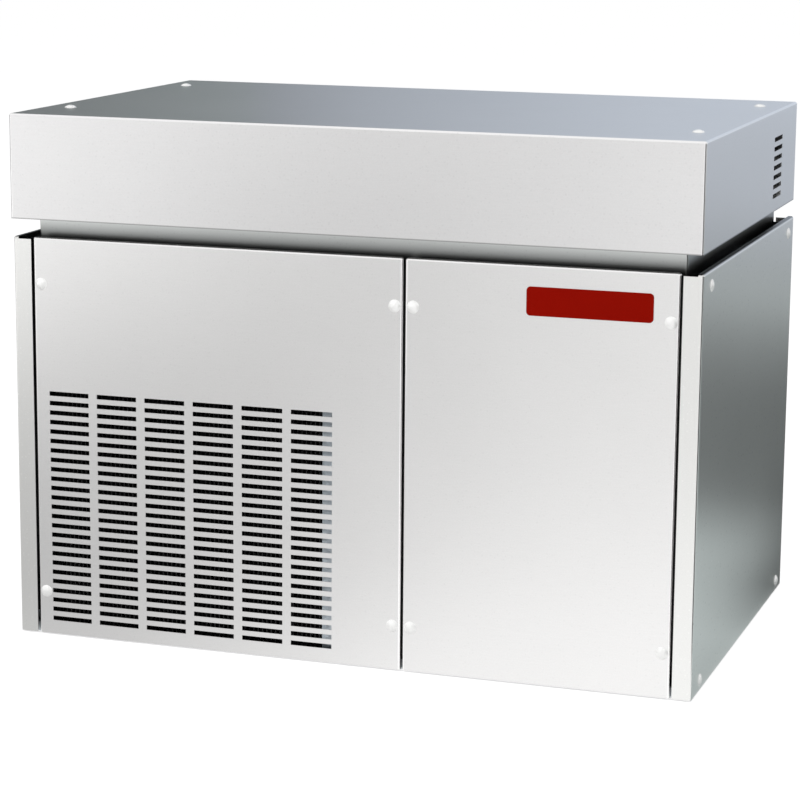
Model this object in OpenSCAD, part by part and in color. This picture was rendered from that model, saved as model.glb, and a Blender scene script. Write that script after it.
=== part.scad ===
// Flake ice machine for the top of a storage bin: cabinet, lid, rotating freezing drum and cooling unit.
// Millimetres, +Z up, front at -Y, origin in the middle of the underside.

/* [Cabinet] */
// Width over the side panels
body_w = 900; // [880:1:980]
// Depth from the front panels to the back panel
body_d = 581; // [570:1:640]
// Height of the cabinet below the lid gap
body_h = 525.5; // [515:0.5:560]
// Height of the open gap between cabinet and lid
gap_h = 23.5; // [18:0.5:35]
// Height of the lid
lid_h = 134; // [115:1:170]
// How far the lid stands in front of the front panels
lid_over = 7; // [0:0.5:12]
// How far the lid stops short of the back panel
lid_short = 4; // [0:0.5:10]
// Width of the lid's turned-in lower lip
lid_lip = 6; // [3:0.5:7]
// Thickness of the stainless sheet
sheet_t = 1.2; // [0.8:0.1:1.5]
// Outside radius of the folded edges
bend_r = 3; // [2.5:0.1:4]
// Width of the side panels' front and back returns
flange_w = 24.5; // [18:0.5:26]
// Depth of the folded top edges of the panels
top_fold = 7; // [5:0.5:9]
// Depth of the front panels' folded side edges
side_fold = 6; // [4:0.5:6.5]
// Joint between neighbouring panels
panel_gap = 3; // [1:0.1:4]
// Height of the panels' lower edges above the floor
panel_foot = 2; // [0.5:0.1:5]
// Distance of the split between the front panels from the left side
split_from_left = 527.8; // [515:0.1:540]

/* [Slots] */
// Slot columns in the grille
slot_cols = 6; // [2:1:6]
// Slot rows in the grille
slot_rows = 25; // [2:1:25]
// Length of one slot
slot_l = 55; // [40:0.5:60]
// Height of one slot
slot_h = 5.9; // [3:0.1:7]
// Distance between slot columns
col_pitch = 66.6; // [62:0.1:68]
// Distance between slot rows
row_pitch = 12.5; // [9:0.1:12.8]
// Distance of the first column from the left side
slot_from_left = 47; // [45:0.5:50]
// Distance of the lowest slot's middle from the sheet's lower edge
slot_low = 21; // [16:0.5:30]
// Vent slots in the lid's right wall
vent_rows = 7; // [1:1:7]
// Distance of the vent slots' middle from the front panels
vent_from_front = 447.5; // [380:0.5:500]
// Exhaust slot rows in the back panel
exhaust_rows = 18; // [2:1:20]
// Exhaust slot columns in the back panel
exhaust_cols = 5; // [2:1:5]
// Distance of the exhaust slots from the left side
exhaust_from_left = 60; // [50:1:80]
// Height of the lowest exhaust slot's middle
exhaust_low = 62; // [50:1:80]

/* [Fasteners] */
// Diameter of the domed screw heads
head_d = 16; // [12:0.5:17]
// Height of the domed screw heads
head_h = 3; // [2:0.1:4]
// Diameter of the screw shanks
shank_d = 5; // [3:0.5:5.5]
// Length of the screw shanks
shank_l = 10.5; // [10:0.5:11.5]
// Clearance around a shank
hole_gap = 0.3; // [0.2:0.05:0.5]
// Distance of the front and back screws from the panels' side edges
screw_in = 10.4; // [9:0.1:12]
// Distance of the upper front screws from the cabinet's top
screw_top = 60; // [45:0.5:75]
// Height of the lower front screws
screw_low = 58.5; // [48:0.5:75]
// Distance of the upper side screws from the cabinet's top
side_screw_top = 19.5; // [15:0.5:22]
// Height of the lower side screws
side_screw_low = 15.5; // [12:0.5:22]
// Distance of the side screws from the front
side_screw_front = 46; // [35:0.5:70]
// Distance of the side screws from the back
side_screw_back = 37; // [30:0.5:70]
// Distance of the lid screws from the lid's sides
lid_screw_side = 34; // [33:0.5:40]
// Distance of the front lid screws from the front panels
lid_screw_front = 103; // [80:1:120]
// Distance of the rear lid screws from the back panel
lid_screw_back = 95; // [80:1:120]
// Radius of the posts under the lid screws
lid_post_r = 7; // [5:0.1:7.2]

/* [Badge] */
// Length of the red plate
badge_w = 157; // [100:1:170]
// Height of the red plate
badge_h = 35.5; // [20:0.5:45]
// Thickness of the red plate
badge_t = 0.8; // [0.4:0.1:2]
// Corner radius of the red plate
badge_r = 5; // [1:0.5:8]
// Distance of the red plate from the right side
badge_from_right = 59.5; // [45:0.5:70]
// Distance of the red plate's top from the cabinet's top
badge_top = 26; // [10:0.5:40]

/* [Frame] */
// Thickness of base tray, posts, deck and other frame sheet
frame_t = 1.5; // [1:0.1:2]
// Height of the base tray's turned-up edges
base_edge = 30; // [25:0.5:36]
// Height of the base tray's front edge
base_front = 14; // [10:0.5:16]
// Distance of the frame behind the front panels
frame_in = 7; // [6.5:0.1:7.5]
// Width of a corner post's legs
post_w = 42; // [41:0.1:43]
// Width of the centre post
centre_w = 56; // [52:0.5:62]
// Depth of the centre post
centre_d = 18; // [8:0.5:19]
// Distance of the collar's wall from the cabinet's sides and front
collar_in = 25; // [24:0.1:26.5]
// Distance of the collar's wall from the cabinet's back
collar_back_in = 12; // [8:0.5:20]
// Height of the collar's gutter below the cabinet's top
collar_drop = 30; // [28:0.5:38]
// Height of the collar's outer lip
collar_lip = 21; // [18:0.5:26]
// Height of the collar above the lid's lower edge
collar_rise = 3; // [2:0.5:10]
// Width of the shelf around the collar's top
collar_shelf = 24; // [22:0.5:30]
// Depth of the deck between cooling unit and drum below the cabinet's top
deck_from_top = 173.5; // [168:0.5:180]
// Depth of the deck's folded edges
deck_fold = 25; // [15:0.5:30]

/* [Condenser and fan] */
// Distance of the condenser from the left side
cond_from_left = 36; // [35:0.5:37]
// Distance of the condenser from the front
cond_from_front = 20; // [12:0.5:24]
// Length of the finned coil
cond_l = 379; // [370:0.5:381]
// Space between condenser and deck
cond_gap = 11; // [8:0.5:20]
// Depth of the finned coil
coil_d = 60; // [40:1:70]
// Depth of the end plates with the space in front of the fan
plate_d = 100; // [90:1:110]
// Width of the end plates' edges
plate_edge = 22; // [15:0.5:24]
// Distance between fins
fin_pitch = 6; // [5:0.5:10]
// Thickness of one fin
fin_t = 1.2; // [0.6:0.1:2]
// Thickness of the coil's core
core_t = 14; // [12:0.5:18]
// Radius of the coil's tubes
tube_r = 5; // [4:0.1:5.5]
// Rows of tubes in the coil
tube_rows = 8; // [2:2:8]
// Distance of the outer tube rows from the condenser's top and bottom
tube_edge = 29; // [27:0.5:40]
// Distance of the fan from the condenser's top and bottom
fan_edge = 29; // [24:0.5:60]
// Gap between blade tips and fan ring
tip_gap = 6; // [3:0.5:8]
// Length of the fan ring
ring_l = 30; // [15:1:40]
// Fan blades
blade_n = 5; // [3:1:7]
// Pitch of the blades in degrees
blade_pitch = 28; // [15:1:35]
// Width of a blade
blade_w = 62; // [40:1:70]
// Thickness of a blade
blade_t = 1.5; // [1:0.1:3]
// Radius of the fan hub
hub_r = 34; // [30:0.5:45]
// Length of the fan hub
hub_l = 34; // [32:0.5:40]
// Radius of the fan motor
fan_motor_r = 45; // [30:0.5:55]
// Length of the fan motor
fan_motor_l = 70; // [50:1:90]
// Radius of the fan motor's shaft
fan_shaft_r = 4; // [3:0.5:6]
// Width of the strap behind the fan motor
strap_w = 30; // [20:1:40]

/* [Compressor and pipes] */
// Distance of the compressor from the right side
comp_from_right = 150; // [145:1:152]
// Distance of the compressor from the back
comp_from_back = 154; // [141:1:160]
// Radius of the compressor's shell
comp_r = 80; // [70:0.5:82]
// Space between compressor and deck
comp_gap = 78; // [74:1:120]
// Rounding of the shell's top
comp_top_r = 42; // [20:1:46]
// Rounding of the shell's bottom
comp_low_r = 28; // [15:1:40]
// Side of the compressor's foot plate
foot_plate = 176; // [165:1:180]
// Height of a rubber grommet
grommet_h = 18; // [12:0.5:25]
// Radius of a rubber grommet
grommet_r = 14; // [10:0.5:16]
// Radius of the liquid receiver
recv_r = 45; // [35:0.5:50]
// Height of the liquid receiver
recv_h = 230; // [180:1:235]
// Place of the liquid receiver between the condenser's pipe and the compressor
recv_share = 0.55; // [0.53:0.01:0.57]
// How far the receiver stands behind the compressor
recv_behind = 50; // [45:1:60]
// Radius of the gas pipes
gas_r = 5; // [4:0.1:5.5]
// Radius of the suction pipe
suction_r = 8; // [6:0.1:9]
// Radius of the pipes' bends
pipe_bend = 14; // [10:0.5:14]
// Radius of the filter drier
drier_r = 19; // [15:0.5:24]
// Length of the filter drier
drier_l = 120; // [90:1:130]

/* [Drum and drive] */
// Radius of the freezing drum
drum_r = 125; // [115:0.5:128]
// Room for bearing and drive between the drum and the right side
drive_room = 180; // [176:1:200]
// Distance of the drum's left end from the left side
drum_from_left = 320; // [316:1:322]
// Distance of the drum's axis from the front
drum_from_front = 332; // [330:0.5:336]
// Wall of the drum
drum_wall = 6; // [3:0.5:10]
// Radius of the drum's shaft
shaft_r = 18; // [14:0.5:20]
// Running clearance of shafts in their bearings
run_gap = 0.05; // [0.02:0.01:0.1]
// Space between drum and water pan
pan_gap = 15; // [8:0.5:16]
// Wall of the water pan
pan_t = 4; // [3:0.5:6]
// Height of the pan's saddles
pan_foot = 10; // [6:0.5:14]
// Space between the drum's ends and the pan's end walls
pan_end_gap = 10; // [5:0.5:12]
// Thickness of the pan's end walls
pan_end_t = 6; // [4:0.5:8]
// Height of the end walls above the drum's axis
pan_end_rise = 45; // [40:0.5:55]
// Depth of the pan's front rim below the drum's axis
pan_rim_drop = 25; // [20:0.5:30]
// Radius of a bearing's spigot
bearing_r = 30; // [24:0.5:32]
// Radius of a bearing's flange
bearing_flange_r = 40; // [36:0.5:42]
// Thickness of a bearing's flange
bearing_flange_t = 8; // [6:0.5:9]
// Slope of the scraper blade in degrees
blade_slope = 25; // [15:1:32]
// Length of the scraper blade from edge to back
scraper_d = 44; // [36:0.5:48]
// Thickness of the scraper blade
scraper_t = 3; // [2:0.1:4]
// Gap between scraper edge and drum
scraper_gap = 0.5; // [0.3:0.1:1]
// Space between the right bearing and the gearbox
drive_gap = 6; // [4:0.5:8]
// Width of the gearbox along the drum's axis
gearbox_w = 90; // [70:1:94]
// Half height and half depth of the gearbox
gearbox_half = 54; // [48:0.5:56]
// Radius of the gear motor
motor_r = 48; // [35:0.5:49]
// Space between gear motor and collar
motor_to_collar = 38; // [30:1:60]
// Sheet of the stand under the gearbox
stand_t = 4; // [3:0.5:6]

/* [Chute] */
// Space between ice chute and control box
chute_to_ctrl = 19; // [16:0.5:40]
// Inside depth of the ice chute
chute_d = 110; // [80:1:120]
// Wall of the ice chute
chute_t = 4; // [3:0.5:5]
// Space between condenser and chute
chute_from_cond = 40; // [38:0.5:42]
// Height of the funnel at the chute's top
funnel_h = 110; // [80:1:112]
// Clearance of the chute in the deck
chute_gap = 0.5; // [0.3:0.1:2]

/* [Water] */
// Width of the float tank
tank_w = 130; // [120:1:134]
// Depth of the float tank
tank_d = 140; // [132:1:150]
// Height of the float tank
tank_h = 128; // [122:1:135]
// Wall of the float tank
tank_t = 3; // [2:0.5:5]
// Distance of the float tank from the left side
tank_from_left = 30; // [20:1:34]
// Distance of the float tank from the back
tank_from_back = 84; // [80:1:90]
// Height of the water inlet above the deck
inlet_rise = 106; // [102:0.5:108]
// Length of the float arm
arm_l = 72; // [60:1:76]
// Angle of the float arm on its lower stop in degrees
arm_drop = 20; // [10:1:22]
// Radius of the float
float_r = 22; // [15:0.5:24]
// Length of the float
float_l = 60; // [40:1:80]
// Radius of the float arm's pin
float_pin_r = 2.5; // [2:0.1:3]
// Thickness of the collars outside the back panel
collar_nut = 4; // [2:0.5:6]
// Outside radius of the inlet's pipe thread
inlet_r = 13.2; // [10:0.1:14]
// Length of the inlet's thread outside the back panel
inlet_l = 16; // [12:0.5:18]
// Outside radius of the drain spigot
drain_r = 10; // [8:0.1:12]
// Length of the drain spigot outside the back panel
drain_l = 20; // [19:0.5:30]
// Distance of the drain from the left side
drain_from_left = 430; // [426:1:432]
// Height of the drain spigot
drain_z = 60; // [54:1:70]
// Radius of the hoses
hose_r = 9; // [7:0.1:9.5]

/* [Controls] */
// Width of the control box
ctrl_w = 190; // [150:1:194]
// Depth of the control box
ctrl_d = 98; // [90:1:100]
// Height of the control box
ctrl_h = 215; // [180:1:225]
// Sheet of the control box
ctrl_t = 1.2; // [0.8:0.1:2]
// Distance of the control box from the right side
ctrl_from_right = 28; // [26:0.5:30]
// Distance of the control box from the front
ctrl_from_front = 18; // [16:0.5:22]
// Distance of the cable gland from the right side
gland_from_right = 80; // [65:1:100]
// Height of the cable gland
gland_z = 60; // [45:1:90]
// Radius of the cable gland's nut
gland_r = 12; // [9:0.5:16]
// Radius of the gland's bore
gland_bore_r = 5; // [3:0.5:6]
// Length of the gland outside the back panel
gland_l = 14; // [8:0.5:18]
// Outside radius of the gland's threaded body
gland_body_r = 8.4; // [7.5:0.1:8.6]

/* [Hidden] */
$fn = 64;
far = 2000;

half_w = body_w / 2;
inner_x = half_w - sheet_t;
overall_d = lid_over + body_d + drain_l;
front_y = lid_over - overall_d / 2;
back_y = front_y + body_d;
inner_front = front_y + sheet_t;
inner_back = back_y - sheet_t;
frame_front = inner_front + frame_in;
frame_d = inner_back - frame_front;
lid_z = body_h + gap_h;
top_z = lid_z + lid_h;
lid_under = top_z - sheet_t;
lid_d = lid_over + body_d - lid_short;
panel_h = body_h - panel_foot;
panel_in = flange_w + panel_gap;
split_x = split_from_left - half_w;

post_top = body_h - collar_drop;
collar_top = lid_z + collar_rise;
collar_x = half_w - collar_in;
collar_front = front_y + collar_in;
collar_back = back_y - collar_back_in;
deck_x = inner_x - frame_t;
deck_front = frame_front + frame_t;
deck_back = inner_back - frame_t;
deck_z = body_h - deck_from_top;
deck_under = deck_z - frame_t;

cond_h = deck_under - cond_gap - frame_t;
cond_x0 = cond_from_left - half_w;
cond_x1 = cond_x0 + cond_l;
cond_y = front_y + cond_from_front;
cond_back = cond_y + plate_d;
coil_mid_y = cond_y + coil_d / 2;
coil_margin = 6;
tube_stub = 4.5;
tube_pitch = (cond_h - 2 * tube_edge) / (tube_rows - 1);
tube_low = frame_t + tube_edge;
fan_x = (cond_x0 + cond_x1) / 2;
fan_z = frame_t + cond_h / 2;
fan_d = cond_h - 2 * fan_edge;
ring_r = fan_d / 2 + tip_gap;
ring_back = cond_back + frame_t + ring_l;
fan_y = cond_back + frame_t + ring_l / 2;
fan_motor_gap = 14;
fan_motor_y = ring_back + fan_motor_gap;
fan_motor_back = fan_motor_y + fan_motor_l;
strap_t = 3;
strap_out = 12;
strap_reach = ring_r + frame_t + strap_out;

comp_x = half_w - comp_from_right;
comp_y = back_y - comp_from_back;
foot_plate_z = frame_t + grommet_h;
foot_plate_t = 3;
comp_z = foot_plate_z + foot_plate_t;
comp_top = deck_under - comp_gap;
comp_h = comp_top - comp_z;
port_out = 26;
port_h = 13;
port_z = comp_top + port_h;
line_gap = 8;
line_x = cond_x1 + frame_t + plate_edge + line_gap;
recv_x = line_x + (comp_x - foot_plate / 2 - line_x) * recv_share;
recv_y = comp_y + recv_behind;
recv_top = frame_t + recv_h;
recv_stub = 8;
discharge_drop = 25;
discharge_z = deck_under - discharge_drop;
drier_rise = 32;
drier_z = recv_top + drier_rise;
drier_from_recv = 60;
drier_x1 = recv_x - drier_from_recv;
drier_x0 = drier_x1 - drier_l;

drum_x0 = drum_from_left - half_w;
drum_x1 = half_w - drive_room;
drum_l = drum_x1 - drum_x0;
drum_y = front_y + drum_from_front;
pan_r = drum_r + pan_gap;
pan_out_r = pan_r + pan_t;
drum_z = deck_z + pan_foot + pan_out_r;
pan_x0 = drum_x0 - pan_end_gap;
pan_x1 = drum_x1 + pan_end_gap;
wall_x0 = pan_x0 - pan_end_t;
wall_x1 = pan_x1 + pan_end_t;
bearing_x0 = wall_x0 - bearing_flange_t;
bearing_x1 = wall_x1 + bearing_flange_t;
rim_z = drum_z - pan_rim_drop;
gearbox_x = bearing_x1 + drive_gap;
gearbox_x1 = gearbox_x + gearbox_w;
joint_gap = 4;
joint_l = 72;
joint_r = 28;
joint_x1 = bearing_x0 - joint_gap;
joint_x0 = joint_x1 - joint_l;
joint_port_x = joint_x0 + 30;
joint_port_y = drum_y + joint_r + 6;
shaft_start = 40;
shaft_stop = 6;
shaft_x0 = joint_x0 + shaft_start;
shaft_x1 = gearbox_x1 - shaft_stop;
valve_gap = 22;
valve_x = joint_x0 - valve_gap;
valve_reach = 40;
valve_back_y = drum_y + valve_reach;
suction_y = (drum_y + pan_out_r + inner_back) / 2;
motor_l = collar_back - motor_to_collar - drum_y - gearbox_half;
suction_side = 40;
suction_x = recv_x + suction_side;

edge_rise = 8;
edge_y = drum_y - sqrt(pow(drum_r + scraper_gap, 2) - pow(edge_rise, 2));
edge_z = drum_z + edge_rise;

ctrl_x1 = half_w - ctrl_from_right;
ctrl_x0 = ctrl_x1 - ctrl_w;
ctrl_y0 = front_y + ctrl_from_front;
ctrl_y1 = ctrl_y0 + ctrl_d;
ctrl_z0 = deck_under - ctrl_h;

chute_x0 = cond_x1 + chute_from_cond;
chute_x1 = ctrl_x0 - chute_to_ctrl;
chute_w = chute_x1 - chute_x0 - 2 * chute_t;
chute_pan_gap = 1;
chute_y1 = drum_y - pan_out_r - chute_pan_gap;
chute_y0 = chute_y1 - chute_d - 2 * chute_t;
chute_rim = 10;
chute_top = rim_z + chute_rim;

tank_x0 = tank_from_left - half_w;
tank_x1 = tank_x0 + tank_w;
tank_y1 = back_y - tank_from_back;
tank_y0 = tank_y1 - tank_d;
inlet_x = tank_x0 + tank_w / 2;
inlet_z = deck_z + inlet_rise;
pivot_in = 22;
pivot_y = tank_y1 - tank_t - pivot_in;
valve_stub = 12;
feed_behind = 55;
feed_y = drum_y + feed_behind;
feed_rise = 43;
feed_z = deck_z + feed_rise;
drain_x = drain_from_left - half_w;
drain_in = 12;
drain_inner_y = inner_back - drain_in;
inlet_in = 20;
inlet_inner_y = inner_back - inlet_in;

gland_x = half_w - gland_from_right;

steel = "#d6d5d1";
galvanised = "#a9afb2";
white_plastic = "#e9e9e4";
copper = "#b06a3c";
black = "#1d1d1f";

// Quarter of a ring in the first quadrant
module quarter_ring(r, t) {
  intersection() {
    difference() {
      circle(r = r);
      circle(r = r - t);
    }
    square([r, r]);
  }
}

// Rectangle with round corners, its lower left corner at the origin
module round_rect(w, d, r) {
  translate([r, 0]) square([w - 2 * r, d]);
  translate([0, r]) square([w, d - 2 * r]);
  for (x = [r, w - r], y = [r, d - r])
    translate([x, y]) circle(r = r);
}

// Bend and wall along +Y at the sheet's left edge
module folded_edge(run, depth, t, r) {
  translate([0, run, 0]) rotate([90, 0, 0])
    linear_extrude(height = run) {
      translate([r, -r]) rotate(90) quarter_ring(r, t);
      translate([0, -depth]) square([t, depth - r]);
    }
}

// Round corner between two folded edges
module folded_corner(depth, t, r) {
  translate([r, r, -r]) rotate([0, 0, 180]) {
    rotate_extrude(angle = 90) quarter_ring(r, t);
    translate([0, 0, r - depth]) linear_extrude(height = depth - r) quarter_ring(r, t);
  }
}

// Sheet with its outer face at z = 0; folds gives the depth of the left, right, front and back folds
module folded_sheet(w, d, t, r, folds) {
  ax = folds[0] > 0 ? r : 0;
  bx = folds[1] > 0 ? w - r : w;
  ay = folds[2] > 0 ? r : 0;
  by = folds[3] > 0 ? d - r : d;
  translate([ax, ay, -t]) cube([bx - ax, by - ay, t]);
  if (folds[0] > 0)
    translate([0, ay, 0]) folded_edge(by - ay, folds[0], t, r);
  if (folds[1] > 0)
    translate([w, ay, 0]) mirror([1, 0, 0]) folded_edge(by - ay, folds[1], t, r);
  if (folds[2] > 0)
    translate([ax, 0, 0]) mirror([1, -1, 0]) folded_edge(bx - ax, folds[2], t, r);
  if (folds[3] > 0)
    translate([ax, d, 0]) mirror([0, 1, 0]) mirror([1, -1, 0]) folded_edge(bx - ax, folds[3], t, r);
  if (folds[0] > 0 && folds[2] > 0)
    folded_corner(min(folds[0], folds[2]), t, r);
  if (folds[1] > 0 && folds[2] > 0)
    translate([w, 0, 0]) mirror([1, 0, 0]) folded_corner(min(folds[1], folds[2]), t, r);
  if (folds[0] > 0 && folds[3] > 0)
    translate([0, d, 0]) mirror([0, 1, 0]) folded_corner(min(folds[0], folds[3]), t, r);
  if (folds[1] > 0 && folds[3] > 0)
    translate([w, d, 0]) mirror([1, 0, 0]) mirror([0, 1, 0]) folded_corner(min(folds[1], folds[3]), t, r);
}

// Straight round bar between two points
module rod(from, to, r) {
  run = to - from;
  length = norm(run);
  translate(from) rotate([0, acos(run[2] / length), atan2(run[1], run[0])]) cylinder(r = r, h = length);
}

// Quarter bend of a pipe around a corner between two directions
module elbow(corner, into, out, r, bend) {
  axis = cross(into, out);
  c = corner + (out - into) * bend;
  multmatrix([
    [-out[0], into[0], axis[0], c[0]],
    [-out[1], into[1], axis[1], c[1]],
    [-out[2], into[2], axis[2], c[2]],
    [0, 0, 0, 1]
  ])
    rotate_extrude(angle = 90) translate([bend, 0]) circle(r = r);
}

// Bent pipe along square corners
module pipe(points, r, bend) {
  last = len(points) - 1;
  way = [for (i = [0:last - 1]) (points[i + 1] - points[i]) / norm(points[i + 1] - points[i])];
  for (i = [0:last - 1])
    rod(
      points[i] + way[i] * (i > 0 ? bend : 0),
      points[i + 1] - way[i] * (i < last - 1 ? bend : 0),
      r
    );
  if (last > 1)
    for (i = [1:last - 1])
      elbow(points[i], way[i - 1], way[i], r, bend);
}

// Field of slots in the XZ plane through a sheet at y
module slot_field(x, y, z, cols, rows) {
  for (c = [0:cols - 1], k = [0:rows - 1])
    translate([x + c * col_pitch, y - sheet_t, z + k * row_pitch - slot_h / 2])
      cube([slot_l, 3 * sheet_t, slot_h]);
}

// Places of the domed screws, with +Z out of the sheet
module at_front_screws() {
  for (
    x = [
      panel_in + screw_in - half_w,
      split_x - panel_gap / 2 - screw_in,
      split_x + panel_gap / 2 + screw_in,
      half_w - panel_in - screw_in
    ],
    z = [screw_low, body_h - screw_top]
  )
    translate([x, front_y, z]) rotate([90, 0, 0]) children();
}

module at_side_screws() {
  for (
    side = [-1, 1],
    y = [front_y + side_screw_front, back_y - side_screw_back],
    z = [side_screw_low, body_h - side_screw_top]
  )
    translate([side * half_w, y, z]) rotate([0, side * 90, 0]) children();
}

module at_back_screws() {
  for (
    x = [panel_in + screw_in - half_w, half_w - panel_in - screw_in],
    z = [screw_low, body_h - screw_top]
  )
    translate([x, back_y, z]) rotate([-90, 0, 0]) children();
}

module at_lid_screws() {
  for (
    x = [lid_screw_side - half_w, half_w - lid_screw_side],
    y = [front_y + lid_screw_front, back_y - lid_screw_back]
  )
    translate([x, y, top_z]) children();
}

module domed_screw() {
  dome_r = (pow(head_d / 2, 2) + pow(head_h, 2)) / (2 * head_h);
  rotate_extrude() {
    intersection() {
      translate([0, head_h - dome_r]) circle(r = dome_r);
      square([head_d, head_h]);
    }
    translate([0, -shank_l]) square([shank_d / 2, shank_l]);
  }
}

module screw_hole() {
  translate([0, 0, -shank_l - 1]) cylinder(r = shank_d / 2 + hole_gap, h = shank_l + 2);
}

module base_tray() {
  color(galvanised)
  difference() {
    translate([-inner_x, inner_back, 0]) rotate([180, 0, 0])
      folded_sheet(2 * inner_x, frame_d, frame_t, bend_r, [base_edge, base_edge, base_edge, base_front]);
    translate([chute_x0 + chute_t, chute_y0 + chute_t, -1]) cube([chute_w, chute_d, frame_t + 2]);
    at_side_screws() screw_hole();
  }
}

// Upright angle with its bend at the origin and its legs along +X and +Y
module corner_angle() {
  translate([0, 0, base_edge]) linear_extrude(height = post_top - base_edge) {
    translate([bend_r, bend_r]) rotate(180) quarter_ring(bend_r, frame_t);
    translate([bend_r, 0]) square([post_w - bend_r, frame_t]);
    translate([0, bend_r]) square([frame_t, post_w - bend_r]);
  }
}

module front_left_post() {
  color(black)
  difference() {
    translate([-inner_x, frame_front, 0]) corner_angle();
    at_front_screws() screw_hole();
  }
}

module front_right_post() {
  color(black)
  difference() {
    translate([inner_x, frame_front, 0]) mirror([1, 0, 0]) corner_angle();
    at_front_screws() screw_hole();
  }
}

module back_left_post() {
  color(black)
  difference() {
    translate([-inner_x, inner_back, 0]) mirror([0, 1, 0]) corner_angle();
    at_back_screws() screw_hole();
  }
}

module back_right_post() {
  color(black)
  difference() {
    translate([inner_x, inner_back, 0]) mirror([1, 0, 0]) mirror([0, 1, 0]) corner_angle();
    at_back_screws() screw_hole();
  }
}

module centre_post() {
  color(black)
  difference() {
    translate([split_x - centre_w / 2, frame_front, base_front])
      difference() {
        cube([centre_w, centre_d, post_top - base_front]);
        translate([frame_t, frame_t, -1]) cube([centre_w - 2 * frame_t, centre_d, post_top]);
      }
    at_front_screws() screw_hole();
  }
}

// Ring that closes the gap under the lid: gutter on the posts, wall and shelf
module collar_frame() {
  wall_w = 2 * collar_x;
  wall_d = collar_back - collar_front;
  lip_in = bend_r - frame_t;
  color(steel)
  difference() {
    union() {
      translate([-inner_x, frame_front, post_top]) linear_extrude(height = collar_lip)
        difference() {
          round_rect(2 * inner_x, frame_d, bend_r);
          translate([frame_t, frame_t]) round_rect(2 * (inner_x - frame_t), frame_d - 2 * frame_t, lip_in);
        }
      translate([0, 0, post_top]) linear_extrude(height = frame_t)
        difference() {
          translate([-inner_x, frame_front]) round_rect(2 * inner_x, frame_d, bend_r);
          translate([-collar_x + frame_t, collar_front + frame_t])
            round_rect(wall_w - 2 * frame_t, wall_d - 2 * frame_t, lip_in);
        }
      translate([-collar_x, collar_front, post_top]) linear_extrude(height = collar_top - post_top)
        difference() {
          round_rect(wall_w, wall_d, bend_r);
          translate([frame_t, frame_t]) round_rect(wall_w - 2 * frame_t, wall_d - 2 * frame_t, lip_in);
        }
      translate([-collar_x, collar_front, collar_top - frame_t]) linear_extrude(height = frame_t)
        difference() {
          round_rect(wall_w, wall_d, bend_r);
          translate([collar_shelf, collar_shelf])
            square([wall_w - 2 * collar_shelf, wall_d - 2 * collar_shelf]);
        }
    }
    at_side_screws() screw_hole();
  }
}

module mid_deck() {
  fold = [deck_fold, deck_fold, deck_fold, deck_fold];
  notch = 1;
  color(galvanised)
  difference() {
    translate([-deck_x, deck_front, deck_z])
      folded_sheet(2 * deck_x, deck_back - deck_front, frame_t, bend_r, fold);
    translate([chute_x0 - chute_gap, chute_y0 - chute_gap, deck_z - deck_fold])
      cube([chute_x1 - chute_x0 + 2 * chute_gap, chute_y1 - chute_y0 + 2 * chute_gap, 2 * deck_fold]);
    translate([split_x - centre_w / 2 - notch, front_y, deck_z - 2 * deck_fold])
      cube([centre_w + 2 * notch, sheet_t + frame_in + centre_d + notch, 3 * deck_fold]);
    deck_hole(drain_x, drum_y, hose_r);
    deck_hole(valve_x, recv_y, gas_r);
    deck_hole(suction_x, suction_y, suction_r);
  }
}

module deck_hole(x, y, r) {
  grommet_gap = 2;
  translate([x, y, deck_z - 5]) cylinder(r = r + grommet_gap, h = 10);
}

module lid_posts() {
  color(galvanised)
  at_lid_screws()
    difference() {
      translate([0, 0, collar_top - top_z]) cylinder(r = lid_post_r, h = lid_under - collar_top);
      screw_hole();
    }
}

// Side sheet: web, front, back and top returns
module side_panel() {
  translate([half_w, front_y, body_h]) rotate([0, 90, 0])
    folded_sheet(panel_h, body_d, sheet_t, bend_r, [top_fold, 0, flange_w, flange_w]);
}

module right_side_panel() {
  color(steel)
  difference() {
    side_panel();
    at_side_screws() screw_hole();
  }
}

module left_side_panel() {
  color(steel)
  difference() {
    mirror([1, 0, 0]) side_panel();
    at_side_screws() screw_hole();
  }
}

// Flat front sheet with its upper and side edges folded in
module front_sheet(x0, x1) {
  translate([x0, front_y, panel_foot]) rotate([90, 0, 0])
    folded_sheet(x1 - x0, panel_h, sheet_t, bend_r, [side_fold, side_fold, 0, top_fold]);
}

module grille_panel() {
  color(steel)
  difference() {
    front_sheet(panel_in - half_w, split_x - panel_gap / 2);
    slot_field(slot_from_left - half_w, front_y, panel_foot + slot_low, slot_cols, slot_rows);
    at_front_screws() screw_hole();
  }
}

module front_right_panel() {
  color(steel)
  difference() {
    front_sheet(split_x + panel_gap / 2, half_w - panel_in);
    at_front_screws() screw_hole();
  }
}

module back_panel() {
  fit_gap = 0.3;
  color(steel)
  difference() {
    translate([panel_in - half_w, back_y, panel_foot]) mirror([0, 1, 0]) rotate([90, 0, 0])
      folded_sheet(body_w - 2 * panel_in, panel_h, sheet_t, bend_r, [0, 0, 0, collar_back_in - panel_gap]);
    slot_field(exhaust_from_left - half_w, inner_back, exhaust_low, exhaust_cols, exhaust_rows);
    at_back_screws() screw_hole();
    back_hole(inlet_x, inlet_z, inlet_r + fit_gap);
    back_hole(drain_x, drain_z, drain_r + fit_gap);
    back_hole(gland_x, gland_z, gland_body_r + fit_gap);
  }
}

module back_hole(x, z, r) {
  translate([x, inner_back - 1, z]) rotate([-90, 0, 0]) cylinder(r = r, h = sheet_t + 2);
}

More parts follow.
